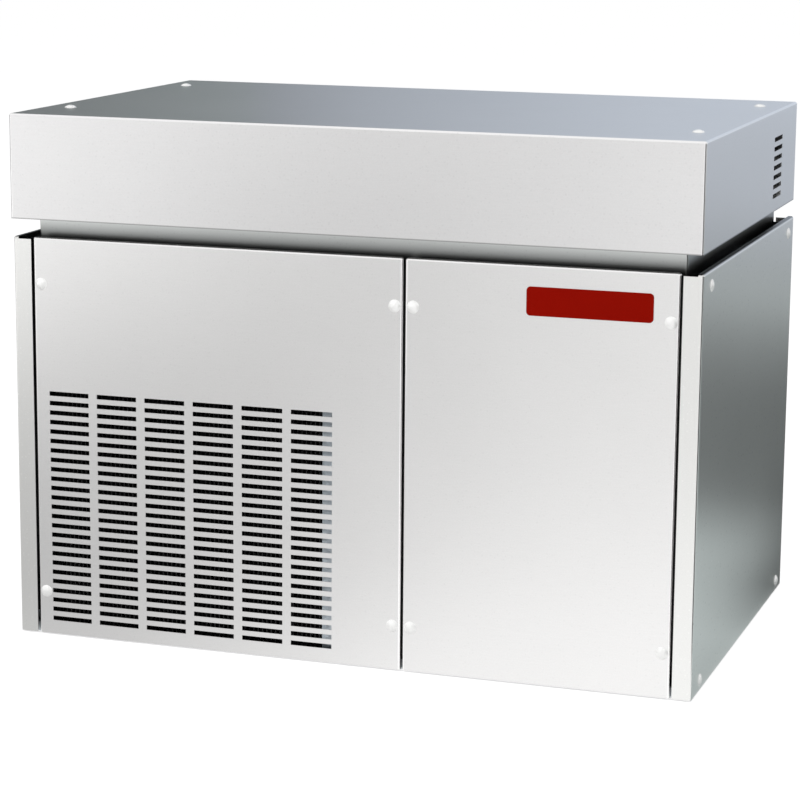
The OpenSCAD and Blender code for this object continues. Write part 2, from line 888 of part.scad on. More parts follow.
module top_lid() {
  color(steel)
  difference() {
    union() {
      translate([-half_w, front_y - lid_over, top_z])
        folded_sheet(body_w, lid_d, sheet_t, bend_r, [lid_h, lid_h, lid_h, lid_h]);
      translate([-half_w, front_y - lid_over, lid_z]) linear_extrude(height = sheet_t)
        difference() {
          round_rect(body_w, lid_d, bend_r);
          translate([lid_lip, lid_lip]) square([body_w - 2 * lid_lip, lid_d - 2 * lid_lip]);
        }
    }
    for (k = [0:vent_rows - 1])
      translate([
        half_w - 2 * sheet_t,
        front_y + vent_from_front - slot_l / 2,
        lid_z + slot_low + k * row_pitch - slot_h / 2
      ])
        cube([3 * sheet_t, slot_l, slot_h]);
    at_lid_screws() screw_hole();
  }
}

module front_badge() {
  color("#92100a")
  translate([half_w - badge_from_right - badge_w, front_y, body_h - badge_top - badge_h]) rotate([90, 0, 0])
    linear_extrude(height = badge_t) round_rect(badge_w, badge_h, badge_r);
}

module panel_screws() {
  color("#f2f2f0") {
    at_front_screws() domed_screw();
    at_side_screws() domed_screw();
    at_back_screws() domed_screw();
    at_lid_screws() domed_screw();
  }
}

// Fins on both faces of the core, with the return bends of its tubes beyond the end plates
module condenser_coil() {
  fins = floor((cond_l - fin_t) / fin_pitch);
  fin_start = (cond_l - fins * fin_pitch - fin_t) / 2;
  color(black) {
    translate([cond_x0, 0, frame_t + coil_margin]) linear_extrude(height = cond_h - 2 * coil_margin) {
      translate([0, coil_mid_y - core_t / 2]) square([cond_l, core_t]);
      for (i = [0:fins])
        translate([fin_start + i * fin_pitch, cond_y]) square([fin_t, coil_d]);
    }
    for (i = [0:tube_rows - 1]) {
      z = tube_low + i * tube_pitch;
      rod([cond_x0, coil_mid_y, z], [cond_x0 - tube_stub, coil_mid_y, z], tube_r);
      rod([cond_x1, coil_mid_y, z], [cond_x1 + tube_stub, coil_mid_y, z], tube_r);
    }
    for (i = [0:2:tube_rows - 2])
      translate([cond_x0 - tube_stub, coil_mid_y, tube_low + (i + 0.5) * tube_pitch]) return_bend(-1);
    if (tube_rows > 2)
      for (i = [1:2:tube_rows - 3])
        translate([cond_x1 + tube_stub, coil_mid_y, tube_low + (i + 0.5) * tube_pitch]) return_bend(1);
  }
}

module return_bend(side) {
  rotate([90, 0, 0]) rotate([0, 0, side > 0 ? -90 : 90])
    rotate_extrude(angle = 180) translate([tube_pitch / 2, 0]) circle(r = tube_r);
}

// End plate with its web at x = 0 and its edges turned to +X
module end_plate() {
  difference() {
    union() {
      cube([frame_t, plate_d, cond_h]);
      cube([plate_edge + frame_t, frame_t, cond_h]);
      translate([0, plate_d - frame_t, 0]) cube([plate_edge + frame_t, frame_t, cond_h]);
    }
    for (i = [0:tube_rows - 1])
      translate([-1, coil_d / 2, tube_low - frame_t + i * tube_pitch]) rotate([0, 90, 0])
        cylinder(r = tube_r + hole_gap, h = frame_t + 2);
  }
}

module condenser_right_plate() {
  color(galvanised) translate([cond_x1, cond_y, frame_t]) end_plate();
}

module condenser_left_plate() {
  color(galvanised) translate([cond_x0, cond_y, frame_t]) mirror([1, 0, 0]) end_plate();
}

module fan_shroud() {
  plate_x0 = cond_x0 - frame_t - plate_edge;
  plate_x1 = cond_x1 + frame_t + plate_edge;
  color(galvanised)
  difference() {
    union() {
      translate([plate_x0, cond_back, frame_t]) cube([plate_x1 - plate_x0, frame_t, cond_h]);
      translate([fan_x, cond_back, fan_z]) rotate([-90, 0, 0])
        cylinder(r = ring_r + frame_t, h = frame_t + ring_l);
    }
    translate([fan_x, cond_back - 1, fan_z]) rotate([-90, 0, 0]) cylinder(r = ring_r, h = ring_l + 5);
  }
}

module fan_rotor() {
  shaft_l = fan_motor_y + fan_motor_l / 2 - fan_y - hub_l / 2;
  blade_root = 4;
  color(black)
  translate([fan_x, fan_y, fan_z]) rotate([-90, 0, 0]) {
    translate([0, 0, -hub_l / 2]) cylinder(r = hub_r, h = hub_l);
    translate([0, 0, hub_l / 2]) cylinder(r = fan_shaft_r, h = shaft_l);
    intersection() {
      for (i = [0:blade_n - 1])
        rotate([0, 0, i * 360 / blade_n]) rotate([blade_pitch, 0, 0])
          translate([hub_r - blade_root, -blade_w / 2, -blade_t / 2]) cube([fan_d / 2, blade_w, blade_t]);
      translate([0, 0, -blade_w]) cylinder(r = fan_d / 2, h = 2 * blade_w);
    }
  }
}

module fan_motor() {
  rear_r = fan_motor_r - 6;
  front_step = 12;
  rear_step = 14;
  color("#3b3d40")
  translate([fan_x, fan_motor_y, fan_z]) rotate([-90, 0, 0])
    difference() {
      union() {
        cylinder(r = rear_r, h = fan_motor_l);
        translate([0, 0, front_step]) cylinder(r = fan_motor_r, h = fan_motor_l - front_step - rear_step);
      }
      translate([0, 0, -1]) cylinder(r = fan_shaft_r + run_gap, h = fan_motor_l / 2 + 5);
    }
}

// Strap behind the fan motor, with legs to the shroud
module fan_bracket() {
  y0 = cond_back + frame_t;
  y1 = fan_motor_back + strap_t;
  foot = 10;
  color(galvanised)
  translate([fan_x - strap_w / 2, 0, fan_z]) {
    translate([0, fan_motor_back, -strap_reach]) cube([strap_w, strap_t, 2 * strap_reach]);
    for (side = [-1, 1]) {
      translate([0, y0, side > 0 ? strap_reach - strap_t : -strap_reach]) cube([strap_w, y1 - y0, strap_t]);
      translate([0, y0, side > 0 ? strap_reach - foot : -strap_reach]) cube([strap_w, strap_t, foot]);
    }
  }
}

module compressor() {
  seam_h = 10;
  seam_out = 3;
  color(black) {
    translate([comp_x, comp_y, comp_z]) rotate_extrude() {
      square([comp_r - comp_top_r, comp_h]);
      square([comp_r - comp_low_r, comp_h / 2]);
      translate([0, comp_low_r]) square([comp_r, comp_h - comp_low_r - comp_top_r]);
      intersection() {
        translate([comp_r - comp_top_r, comp_h - comp_top_r]) circle(r = comp_top_r);
        translate([0, comp_h - comp_top_r]) square([comp_r, comp_top_r]);
      }
      intersection() {
        translate([comp_r - comp_low_r, comp_low_r]) circle(r = comp_low_r);
        square([comp_r, comp_low_r]);
      }
      translate([0, comp_h * 0.62]) square([comp_r + seam_out, seam_h]);
    }
    for (side = [-1, 1])
      translate([comp_x + side * port_out, comp_y, comp_top - 1])
        cylinder(r = suction_r + 2, h = port_h + 1);
  }
}

module at_grommets() {
  for (x = [-1, 1], y = [-1, 1])
    translate([
      comp_x + x * (foot_plate / 2 - grommet_r),
      comp_y + y * (foot_plate / 2 - grommet_r),
      frame_t
    ])
      children();
}

module compressor_plate() {
  color(black)
  difference() {
    translate([comp_x - foot_plate / 2, comp_y - foot_plate / 2, foot_plate_z])
      linear_extrude(height = comp_z - foot_plate_z) round_rect(foot_plate, foot_plate, grommet_r);
    at_grommets() cylinder(r = grommet_r / 2, h = 2 * comp_z);
  }
}

module compressor_grommets() {
  color("#2a2a2a")
  at_grommets()
    difference() {
      cylinder(r = grommet_r, h = grommet_h);
      translate([0, 0, -1]) cylinder(r = grommet_r / 3, h = grommet_h + 2);
      translate([0, 0, grommet_h / 2 - 2])
        difference() {
          cylinder(r = grommet_r + 1, h = 4);
          translate([0, 0, -1]) cylinder(r = grommet_r - 2.5, h = 6);
        }
    }
}

module terminal_cover() {
  reach = 34;
  width = 64;
  height = 76;
  low = comp_h * 0.22;
  color("#2b2b2e")
  difference() {
    translate([comp_x, comp_y - width / 2, comp_z + low]) cube([comp_r + reach, width, height]);
    translate([comp_x, comp_y, comp_z]) cylinder(r = comp_r + hole_gap, h = comp_h);
  }
}

module liquid_receiver() {
  neck_r = gas_r + 3;
  color(black) {
    translate([recv_x, recv_y, frame_t]) rotate_extrude() {
      square([recv_r + 10, 3]);
      square([recv_r, recv_h - recv_r * 0.5]);
      square([recv_r * 0.5, recv_h]);
      intersection() {
        translate([recv_r * 0.5, recv_h - recv_r * 0.5]) circle(r = recv_r * 0.5);
        translate([0, recv_h - recv_r * 0.5]) square([recv_r, recv_r * 0.5]);
      }
    }
    rod([recv_x, recv_y, tube_low], [recv_x - recv_r - recv_stub, recv_y, tube_low], neck_r);
    rod([recv_x, recv_y, recv_top - 1], [recv_x, recv_y, recv_top + recv_stub], neck_r);
  }
}

module filter_drier() {
  cone = 18;
  color(copper)
  translate([drier_x0, recv_y, drier_z]) rotate([0, 90, 0]) {
    cylinder(r1 = gas_r + 2, r2 = drier_r, h = cone);
    translate([0, 0, cone]) cylinder(r = drier_r, h = drier_l - 2 * cone);
    translate([0, 0, drier_l - cone]) cylinder(r1 = drier_r, r2 = gas_r + 2, h = cone);
  }
}

module expansion_valve() {
  body_r = 12;
  bonnet_r = 17;
  color("#b9994a") {
    rod([valve_x, valve_back_y, drum_z], [valve_x, drum_y - 14, drum_z], body_r);
    rod([valve_x, drum_y, drum_z], [joint_x0, drum_y, drum_z], gas_r + 3);
    rod([valve_x, drum_y + 18, drum_z], [valve_x, drum_y + 18, drum_z + 34], body_r - 3);
    rod([valve_x, drum_y + 18, drum_z + 28], [valve_x, drum_y + 18, drum_z + 40], bonnet_r);
  }
}

module discharge_line() {
  tube_top = tube_low + (tube_rows - 1) * tube_pitch;
  drop_y = coil_mid_y + 40;
  color(copper)
  pipe([
    [comp_x + port_out, comp_y, port_z],
    [comp_x + port_out, comp_y, discharge_z],
    [line_x, comp_y, discharge_z],
    [line_x, drop_y, discharge_z],
    [line_x, drop_y, tube_top],
    [line_x, coil_mid_y, tube_top],
    [cond_x1 + tube_stub, coil_mid_y, tube_top]
  ], gas_r, gas_r + 2);
}

module condenser_line() {
  color(copper)
  pipe([
    [cond_x1 + tube_stub, coil_mid_y, tube_low],
    [line_x, coil_mid_y, tube_low],
    [line_x, recv_y, tube_low],
    [recv_x - recv_r - recv_stub, recv_y, tube_low]
  ], gas_r, pipe_bend);
}

module liquid_line() {
  color(copper)
  pipe([
    [recv_x, recv_y, recv_top + recv_stub],
    [recv_x, recv_y, drier_z],
    [drier_x1, recv_y, drier_z]
  ], gas_r, pipe_bend);
}

module valve_line() {
  color(copper)
  pipe([
    [drier_x0, recv_y, drier_z],
    [valve_x, recv_y, drier_z],
    [valve_x, recv_y, drum_z],
    [valve_x, valve_back_y, drum_z]
  ], gas_r, pipe_bend);
}

module suction_line() {
  low_z = deck_under - 50;
  color(copper)
  pipe([
    [joint_port_x, joint_port_y, drum_z],
    [joint_port_x, suction_y, drum_z],
    [suction_x, suction_y, drum_z],
    [suction_x, suction_y, low_z],
    [comp_x - port_out, suction_y, low_z],
    [comp_x - port_out, comp_y, low_z],
    [comp_x - port_out, comp_y, port_z]
  ], suction_r, suction_r + 2);
}

// Half-round trough on two saddles, with end walls that hold the drum's bearings
module water_pan() {
  saddle_t = 10;
  saddle_in = 40;
  saddle_half = 70;
  boss_r = hose_r + 3;
  hole_r = bearing_r + 0.2;
  color(white_plastic)
  difference() {
    union() {
      pan_section(pan_x0, pan_x1)
        difference() {
          circle(r = pan_out_r);
          circle(r = pan_r);
          translate([-far / 2, 0]) square([far, far]);
          translate([-far, -pan_rim_drop]) square([far, far]);
        }
      for (x = [wall_x0, pan_x1])
        pan_section(x, x + pan_end_t) {
          circle(r = pan_out_r);
          translate([-pan_out_r, 0]) square([2 * pan_out_r, pan_end_rise]);
        }
      for (x = [pan_x0 + saddle_in, pan_x1 - saddle_in - saddle_t])
        pan_section(x, x + saddle_t)
          difference() {
            translate([-saddle_half, -pan_out_r - pan_foot])
              square([2 * saddle_half, pan_out_r + pan_foot]);
            circle(r = pan_out_r - pan_t / 2);
          }
      translate([drain_x, drum_y, deck_z + 2]) cylinder(r = boss_r, h = pan_foot + pan_t);
    }
    rod([wall_x0 - 1, drum_y, drum_z], [pan_x0 + 1, drum_y, drum_z], hole_r);
    rod([pan_x1 - 1, drum_y, drum_z], [wall_x1 + 1, drum_y, drum_z], hole_r);
    for (x = [wall_x0, pan_x1])
      translate([x - 1, drum_y - far / 2, drum_z + pan_end_rise]) cube([pan_end_t + 2, far, far / 2]);
  }
}

// Flat outline in the plane across the drum, run from x0 to x1
module pan_section(x0, x1) {
  translate([x0, drum_y, drum_z]) rotate([90, 0, 90]) linear_extrude(height = x1 - x0) children();
}

// Hollow drum with end discs, on one through shaft
module drum() {
  color(steel)
  translate([drum_x0, drum_y, drum_z]) rotate([0, 90, 0]) {
    rotate_extrude()
      difference() {
        square([drum_r, drum_l]);
        translate([shaft_r, drum_wall]) square([drum_r - drum_wall - shaft_r, drum_l - 2 * drum_wall]);
      }
    translate([0, 0, shaft_x0 - drum_x0]) cylinder(r = shaft_r, h = shaft_x1 - shaft_x0);
  }
}

// Flanged bearing with its flange below z = 0 and its spigot above
module flanged_bearing() {
  difference() {
    union() {
      translate([0, 0, -bearing_flange_t]) cylinder(r = bearing_flange_r, h = bearing_flange_t);
      cylinder(r = bearing_r, h = pan_end_t);
    }
    translate([0, 0, -bearing_flange_t - 1])
      cylinder(r = shaft_r + run_gap, h = bearing_flange_t + pan_end_t + 2);
  }
}

module left_bearing() {
  color("#c9c9c9") translate([wall_x0, drum_y, drum_z]) rotate([0, 90, 0]) flanged_bearing();
}

module right_bearing() {
  color("#c9c9c9") translate([wall_x1, drum_y, drum_z]) rotate([0, -90, 0]) flanged_bearing();
}

// Joint that feeds the turning shaft, on a pedestal from the deck
module rotary_joint() {
  leg_t = 24;
  foot_t = 6;
  foot_half = 34;
  port_r = suction_r + 3;
  leg_x = (joint_x0 + joint_x1) / 2;
  color("#b9994a")
  difference() {
    union() {
      rod([joint_x0, drum_y, drum_z], [joint_x1, drum_y, drum_z], joint_r);
      translate([leg_x - leg_t / 2, drum_y - leg_t / 2, deck_z]) cube([leg_t, leg_t, drum_z - deck_z]);
      translate([leg_x - foot_half, drum_y - foot_half, deck_z])
        cube([2 * foot_half, 2 * foot_half, foot_t]);
      rod([joint_port_x, drum_y, drum_z], [joint_port_x, joint_port_y, drum_z], port_r);
    }
    rod([shaft_x0 - 2, drum_y, drum_z], [joint_x1 + 1, drum_y, drum_z], shaft_r + run_gap);
  }
}

// Bar on the pan's front rim, with its top on the slope of the blade
module scraper_bar() {
  run = tan(blade_slope);
  back = drum_y - pan_out_r;
  front = drum_y - sqrt(pow(pan_r, 2) - pow(pan_rim_drop, 2)) + 6;
  color(steel)
  translate([pan_x0, 0, 0]) rotate([90, 0, 90]) linear_extrude(height = pan_x1 - pan_x0)
    polygon([
      [back, rim_z],
      [front, rim_z],
      [front, edge_z - (edge_y - front) * run],
      [back, edge_z - (edge_y - back) * run]
    ]);
}

module scraper_blade() {
  bevel = scraper_t * 2;
  out = scraper_d * cos(blade_slope);
  drop = scraper_d * sin(blade_slope);
  color(steel)
  translate([drum_x0 + 2, 0, 0]) rotate([90, 0, 90]) linear_extrude(height = drum_l - 4)
    polygon([
      [edge_y, edge_z],
      [edge_y - out, edge_z - drop],
      [edge_y - out + scraper_t * sin(-blade_slope), edge_z - drop + scraper_t * cos(blade_slope)],
      [
        edge_y - bevel * cos(blade_slope) - scraper_t * sin(blade_slope),
        edge_z - bevel * sin(blade_slope) + scraper_t * cos(blade_slope)
      ]
    ]);
}

// Arched cover from the pan's back rim over the drum
module drum_cover() {
  mouth = 60;
  end_gap = 0.5;
  color(white_plastic)
  pan_section(pan_x0 + end_gap, pan_x1 - end_gap)
    difference() {
      circle(r = pan_out_r);
      circle(r = pan_r);
      translate([-far / 2, -far]) square([far, far]);
      translate([-far, 0]) square([far, mouth]);
    }
}

module gearbox() {
  hub_out = 4;
  color("#5c6064")
  difference() {
    union() {
      translate([gearbox_x, drum_y - gearbox_half, drum_z - gearbox_half])
        cube([gearbox_w, 2 * gearbox_half, 2 * gearbox_half]);
      rod([gearbox_x - hub_out, drum_y, drum_z], [gearbox_x, drum_y, drum_z], shaft_r + 12);
    }
    rod([gearbox_x - hub_out - 1, drum_y, drum_z], [gearbox_x1 + 1, drum_y, drum_z], shaft_r + run_gap);
  }
}

module gear_motor() {
  rib_n = 24;
  rib_h = 4;
  rib_t = 3;
  flange_t = 10;
  cap_l = 30;
  y0 = drum_y + gearbox_half;
  color("#41464b")
  translate([gearbox_x + gearbox_w / 2, y0, drum_z]) rotate([-90, 0, 0]) {
    cylinder(r = motor_r - rib_h, h = motor_l);
    cylinder(r = motor_r, h = flange_t);
    translate([0, 0, motor_l - cap_l]) cylinder(r = motor_r - 1, h = cap_l);
    for (i = [0:rib_n - 1])
      rotate([0, 0, i * 360 / rib_n])
        translate([motor_r - rib_h - rib_t, -rib_t / 2, flange_t / 2])
          cube([rib_h + rib_t - 1, rib_t, motor_l - cap_l]);
  }
}

module motor_stand() {
  side = 8;
  top = drum_z - gearbox_half;
  w = gearbox_w - 2 * side;
  color(galvanised)
  translate([gearbox_x + side, drum_y - gearbox_half + side, deck_z]) {
    depth = 2 * (gearbox_half - side);
    cube([stand_t, depth, top - deck_z]);
    translate([w - stand_t, 0, 0]) cube([stand_t, depth, top - deck_z]);
    translate([0, 0, top - deck_z - stand_t]) cube([w, depth, stand_t]);
    cube([w, depth, stand_t]);
  }
}

// Funnel in front of the drum that narrows to a duct down through the base
module ice_chute() {
  depth = chute_d + 2 * chute_t;
  neck_z = chute_top - funnel_h;
  color(white_plastic)
  difference() {
    translate([0, chute_y1, 0]) rotate([90, 0, 0]) linear_extrude(height = depth)
      chute_outline(chute_x0, chute_x1, pan_x0, pan_x1, frame_t, neck_z, chute_top);
    translate([0, chute_y1 - chute_t, 0]) rotate([90, 0, 0]) linear_extrude(height = chute_d)
      chute_outline(
        chute_x0 + chute_t, chute_x1 - chute_t, pan_x0 + chute_t, pan_x1 - chute_t,
        frame_t - 1, neck_z, chute_top + 1
      );
  }
}

module chute_outline(x0, x1, top_x0, top_x1, low, neck, top) {
  rim = top - 20;
  polygon([
    [x0, low],
    [x1, low],
    [x1, neck],
    [top_x1, rim],
    [top_x1, top],
    [top_x0, top],
    [top_x0, rim],
    [x0, neck]
  ]);
}

module float_tank() {
  color(white_plastic)
  difference() {
    translate([tank_x0, tank_y0, deck_z]) cube([tank_w, tank_d, tank_h]);
    translate([tank_x0 + tank_t, tank_y0 + tank_t, deck_z + tank_t])
      cube([tank_w - 2 * tank_t, tank_d - 2 * tank_t, tank_h]);
    rod([inlet_x, tank_y1 - tank_t - 1, inlet_z], [inlet_x, tank_y1 + 1, inlet_z], hose_r + hole_gap);
    rod([tank_x1 - tank_t - 1, feed_y, feed_z], [tank_x1 + 1, feed_y, feed_z], hose_r / 2);
  }
}

module tank_lid() {
  lid_t = 2.5;
  skirt = 3;
  color(white_plastic)
  translate([tank_x0, tank_y0, deck_z + tank_h]) {
    cube([tank_w, tank_d, lid_t]);
    translate([tank_t + hole_gap, tank_t + hole_gap, -skirt])
      cube([tank_w - 2 * (tank_t + hole_gap), tank_d - 2 * (tank_t + hole_gap), skirt]);
  }
}

// Valve through the tank's back wall with a fork for the float arm's pin
module float_valve() {
  fork_gap = 12;
  cheek = 4;
  cheek_r = 7;
  color("#d8d8d0")
  difference() {
    union() {
      rod([inlet_x, pivot_y + 16, inlet_z], [inlet_x, tank_y1 + valve_stub, inlet_z], hose_r);
      rod([inlet_x, tank_y1, inlet_z], [inlet_x, tank_y1 + 5, inlet_z], hose_r + 4);
      rod([inlet_x, tank_y1 - tank_t - 5, inlet_z], [inlet_x, tank_y1 - tank_t, inlet_z], hose_r + 4);
      for (side = [-1, 1]) {
        x = inlet_x + side * (fork_gap + cheek) / 2;
        translate([x - cheek / 2, pivot_y, inlet_z - cheek_r]) cube([cheek, 18, 2 * cheek_r]);
        rod([x - cheek / 2, pivot_y, inlet_z], [x + cheek / 2, pivot_y, inlet_z], cheek_r);
      }
    }
    rod([inlet_x - 20, pivot_y, inlet_z], [inlet_x + 20, pivot_y, inlet_z], float_pin_r + run_gap);
  }
}

module float_arm() {
  bar = 5;
  bar_w = 8;
  tail = 6;
  hang = 14;
  pin_half = 11;
  color("#3c6fa5")
  translate([inlet_x, pivot_y, inlet_z]) rotate([arm_drop, 0, 0]) {
    rod([-pin_half, 0, 0], [pin_half, 0, 0], float_pin_r);
    translate([-bar_w / 2, -arm_l, -bar / 2]) cube([bar_w, arm_l + tail, bar]);
    rod([-float_l / 2, -arm_l, -hang], [float_l / 2, -arm_l, -hang], float_r);
  }
}

module feed_hose() {
  color("#cfd6d8")
  rod([tank_x1, feed_y, feed_z], [wall_x0, feed_y, feed_z], hose_r);
}

module inlet_hose() {
  color("#cfd6d8")
  rod([inlet_x, tank_y1 + valve_stub, inlet_z], [inlet_x, inlet_inner_y, inlet_z], hose_r - 2);
}

// Threaded union through the back panel, with a nut inside and a collar outside
module water_inlet() {
  nut_r = inlet_r + 5;
  nut_l = 8;
  bore_r = inlet_r - 4;
  color("#c8a860")
  difference() {
    union() {
      rod([inlet_x, inlet_inner_y, inlet_z], [inlet_x, back_y + inlet_l, inlet_z], inlet_r);
      rod([inlet_x, back_y, inlet_z], [inlet_x, back_y + collar_nut, inlet_z], nut_r);
      translate([inlet_x, inner_back - nut_l, inlet_z]) rotate([-90, 0, 0])
        cylinder(r = nut_r, h = nut_l, $fn = 6);
    }
    rod([inlet_x, back_y - 4, inlet_z], [inlet_x, back_y + inlet_l + 1, inlet_z], bore_r);
  }
}

module drain_pipe() {
  nut_r = drain_r + 5;
  nut_l = 6;
  bore_r = drain_r - 2.5;
  color("#8f9598")
  difference() {
    union() {
      pipe([
        [drain_x, drum_y, deck_z + 2],
        [drain_x, drum_y, drain_z],
        [drain_x, drain_inner_y, drain_z]
      ], hose_r, 2 * hose_r);
      rod([drain_x, drain_inner_y, drain_z], [drain_x, back_y + drain_l, drain_z], drain_r);
      rod([drain_x, inner_back - nut_l, drain_z], [drain_x, inner_back, drain_z], nut_r);
      rod([drain_x, back_y, drain_z], [drain_x, back_y + collar_nut, drain_z], nut_r);
    }
    rod([drain_x, back_y - 4, drain_z], [drain_x, back_y + drain_l + 1, drain_z], bore_r);
  }
}

// Open box under the deck behind the right front panel
module control_box() {
  color(galvanised)
  difference() {
    translate([ctrl_x0, ctrl_y0, ctrl_z0]) cube([ctrl_w, ctrl_d, ctrl_h]);
    translate([ctrl_x0 + ctrl_t, ctrl_y0 - 1, ctrl_z0 + ctrl_t])
      cube([ctrl_w - 2 * ctrl_t, ctrl_d - ctrl_t + 1, ctrl_h - 2 * ctrl_t]);
  }
}

module control_cover() {
  color(galvanised)
  translate([ctrl_x0, ctrl_y0 - ctrl_t, ctrl_z0]) cube([ctrl_w, ctrl_t, ctrl_h]);
}

module contactor() {
  w = 48;
  d = 70;
  h = 76;
  side = 24;
  low = 80;
  step = 16;
  y1 = ctrl_y1 - ctrl_t;
  color("#d9d4c4")
  translate([ctrl_x0 + side, y1 - d, ctrl_z0 + low])
    difference() {
      cube([w, d, h]);
      for (z = [-1, h - step])
        translate([-1, -1, z]) cube([w + 2, d / 2, step + 1]);
    }
}

// Bushing for the supply lead through the back panel
module cable_gland() {
  nut_l = 6;
  color(black)
  difference() {
    union() {
      for (y = [back_y, inner_back - nut_l])
        translate([gland_x, y, gland_z]) rotate([-90, 0, 0]) cylinder(r = gland_r, h = nut_l, $fn = 6);
      rod([gland_x, inner_back - nut_l, gland_z], [gland_x, back_y + gland_l, gland_z], gland_body_r);
    }
    rod([gland_x, inner_back - nut_l - 1, gland_z], [gland_x, back_y + gland_l + 1, gland_z], gland_bore_r);
  }
}

base_tray();
front_left_post();
front_right_post();
back_left_post();
back_right_post();
centre_post();
collar_frame();
mid_deck();
lid_posts();
left_side_panel();
right_side_panel();
grille_panel();
front_right_panel();
back_panel();
top_lid();
front_badge();
panel_screws();
condenser_coil();
condenser_left_plate();
condenser_right_plate();
fan_shroud();
fan_rotor();
fan_motor();
fan_bracket();
compressor();
compressor_plate();
compressor_grommets();
terminal_cover();
liquid_receiver();
filter_drier();
expansion_valve();
discharge_line();
condenser_line();
liquid_line();
valve_line();
suction_line();
water_pan();
drum();
left_bearing();
right_bearing();
rotary_joint();
scraper_bar();
scraper_blade();
drum_cover();
gearbox();
gear_motor();
motor_stand();
ice_chute();
float_tank();
tank_lid();
float_valve();
float_arm();
feed_hose();
inlet_hose();
water_inlet();
drain_pipe();
control_box();
control_cover();
contactor();
cable_gland();
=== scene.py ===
import math
import bpy
from mathutils import Matrix, Vector


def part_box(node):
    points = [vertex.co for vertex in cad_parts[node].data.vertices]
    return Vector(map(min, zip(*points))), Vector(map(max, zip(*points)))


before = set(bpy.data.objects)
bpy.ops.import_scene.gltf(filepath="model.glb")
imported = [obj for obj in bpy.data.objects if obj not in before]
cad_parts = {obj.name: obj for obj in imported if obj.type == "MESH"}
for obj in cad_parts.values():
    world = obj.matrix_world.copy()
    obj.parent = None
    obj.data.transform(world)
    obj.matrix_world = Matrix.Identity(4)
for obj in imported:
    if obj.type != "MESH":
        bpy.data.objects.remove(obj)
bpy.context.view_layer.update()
scene = bpy.context.scene
scene.view_settings.view_transform = "Standard"


# node helpers

def addNode(tree, kind, **settings):
    node = tree.nodes.new(kind)
    for key, value in settings.items():
        setattr(node, key, value)
    return node


def plug(tree, source, target):
    tree.links.new(source, target)


def setInputs(node, **values):
    for key, value in values.items():
        node.inputs[key.replace("_", " ")].default_value = value


def openGroup(name, inputs, outputs):
    group = bpy.data.node_groups.new(name, "ShaderNodeTree")
    for label, kind, value in inputs:
        socket = group.interface.new_socket(label, in_out="INPUT", socket_type=kind)
        if value is not None:
            socket.default_value = value
    for label, kind in outputs:
        group.interface.new_socket(label, in_out="OUTPUT", socket_type=kind)
    return group, addNode(group, "NodeGroupInput"), addNode(group, "NodeGroupOutput")


def mathNode(tree, operation, a, b):
    node = addNode(tree, "ShaderNodeMath", operation=operation)
    for socket, value in zip(node.inputs, (a, b)):
        if isinstance(value, (int, float)):
            socket.default_value = value
        else:
            plug(tree, value, socket)
    return node.outputs[0]


def spread(tree, value, low, high):
    node = addNode(tree, "ShaderNodeMapRange")
    plug(tree, value, node.inputs["Value"])
    setInputs(node, To_Min=low, To_Max=high)
    return node.outputs["Result"]


grainLook = {"streakScale": 900.0, "speckScale": 620.0, "tones": (0.94, 1.06)}


# rolling marks and fine speckle of sheet metal
def makeSheetGrain(look):
    group, start, end = openGroup(
        "sheetGrain",
        [
            ("Coords", "NodeSocketVector", None),
            ("Stretch", "NodeSocketVector", (1.0, 1.0, 1.0)),
            ("Speckle", "NodeSocketFloat", 0.5),
        ],
        [("Height", "NodeSocketFloat"), ("Tone", "NodeSocketFloat")],
    )
    mapping = addNode(group, "ShaderNodeMapping")
    plug(group, start.outputs["Coords"], mapping.inputs["Vector"])
    plug(group, start.outputs["Stretch"], mapping.inputs["Scale"])
    streaks = addNode(group, "ShaderNodeTexNoise")
    setInputs(streaks, Scale=look["streakScale"], Detail=2.0, Roughness=0.6)
    plug(group, mapping.outputs["Vector"], streaks.inputs["Vector"])
    specks = addNode(group, "ShaderNodeTexNoise")
    setInputs(specks, Scale=look["speckScale"], Detail=1.0, Roughness=0.7)
    plug(group, start.outputs["Coords"], specks.inputs["Vector"])
    mix = addNode(group, "ShaderNodeMix", data_type="FLOAT")
    plug(group, start.outputs["Speckle"], mix.inputs["Factor"])
    plug(group, streaks.outputs["Fac"], mix.inputs["A"])
    plug(group, specks.outputs["Fac"], mix.inputs["B"])
    plug(group, mix.outputs["Result"], end.inputs["Height"])
    plug(group, spread(group, mix.outputs["Result"], *look["tones"]), end.inputs["Tone"])
    return group


fleckLook = {"core": 0.10, "rim": 0.32, "skip": 0.35, "swing": (-1.0, 0.6)}  # radii in cells


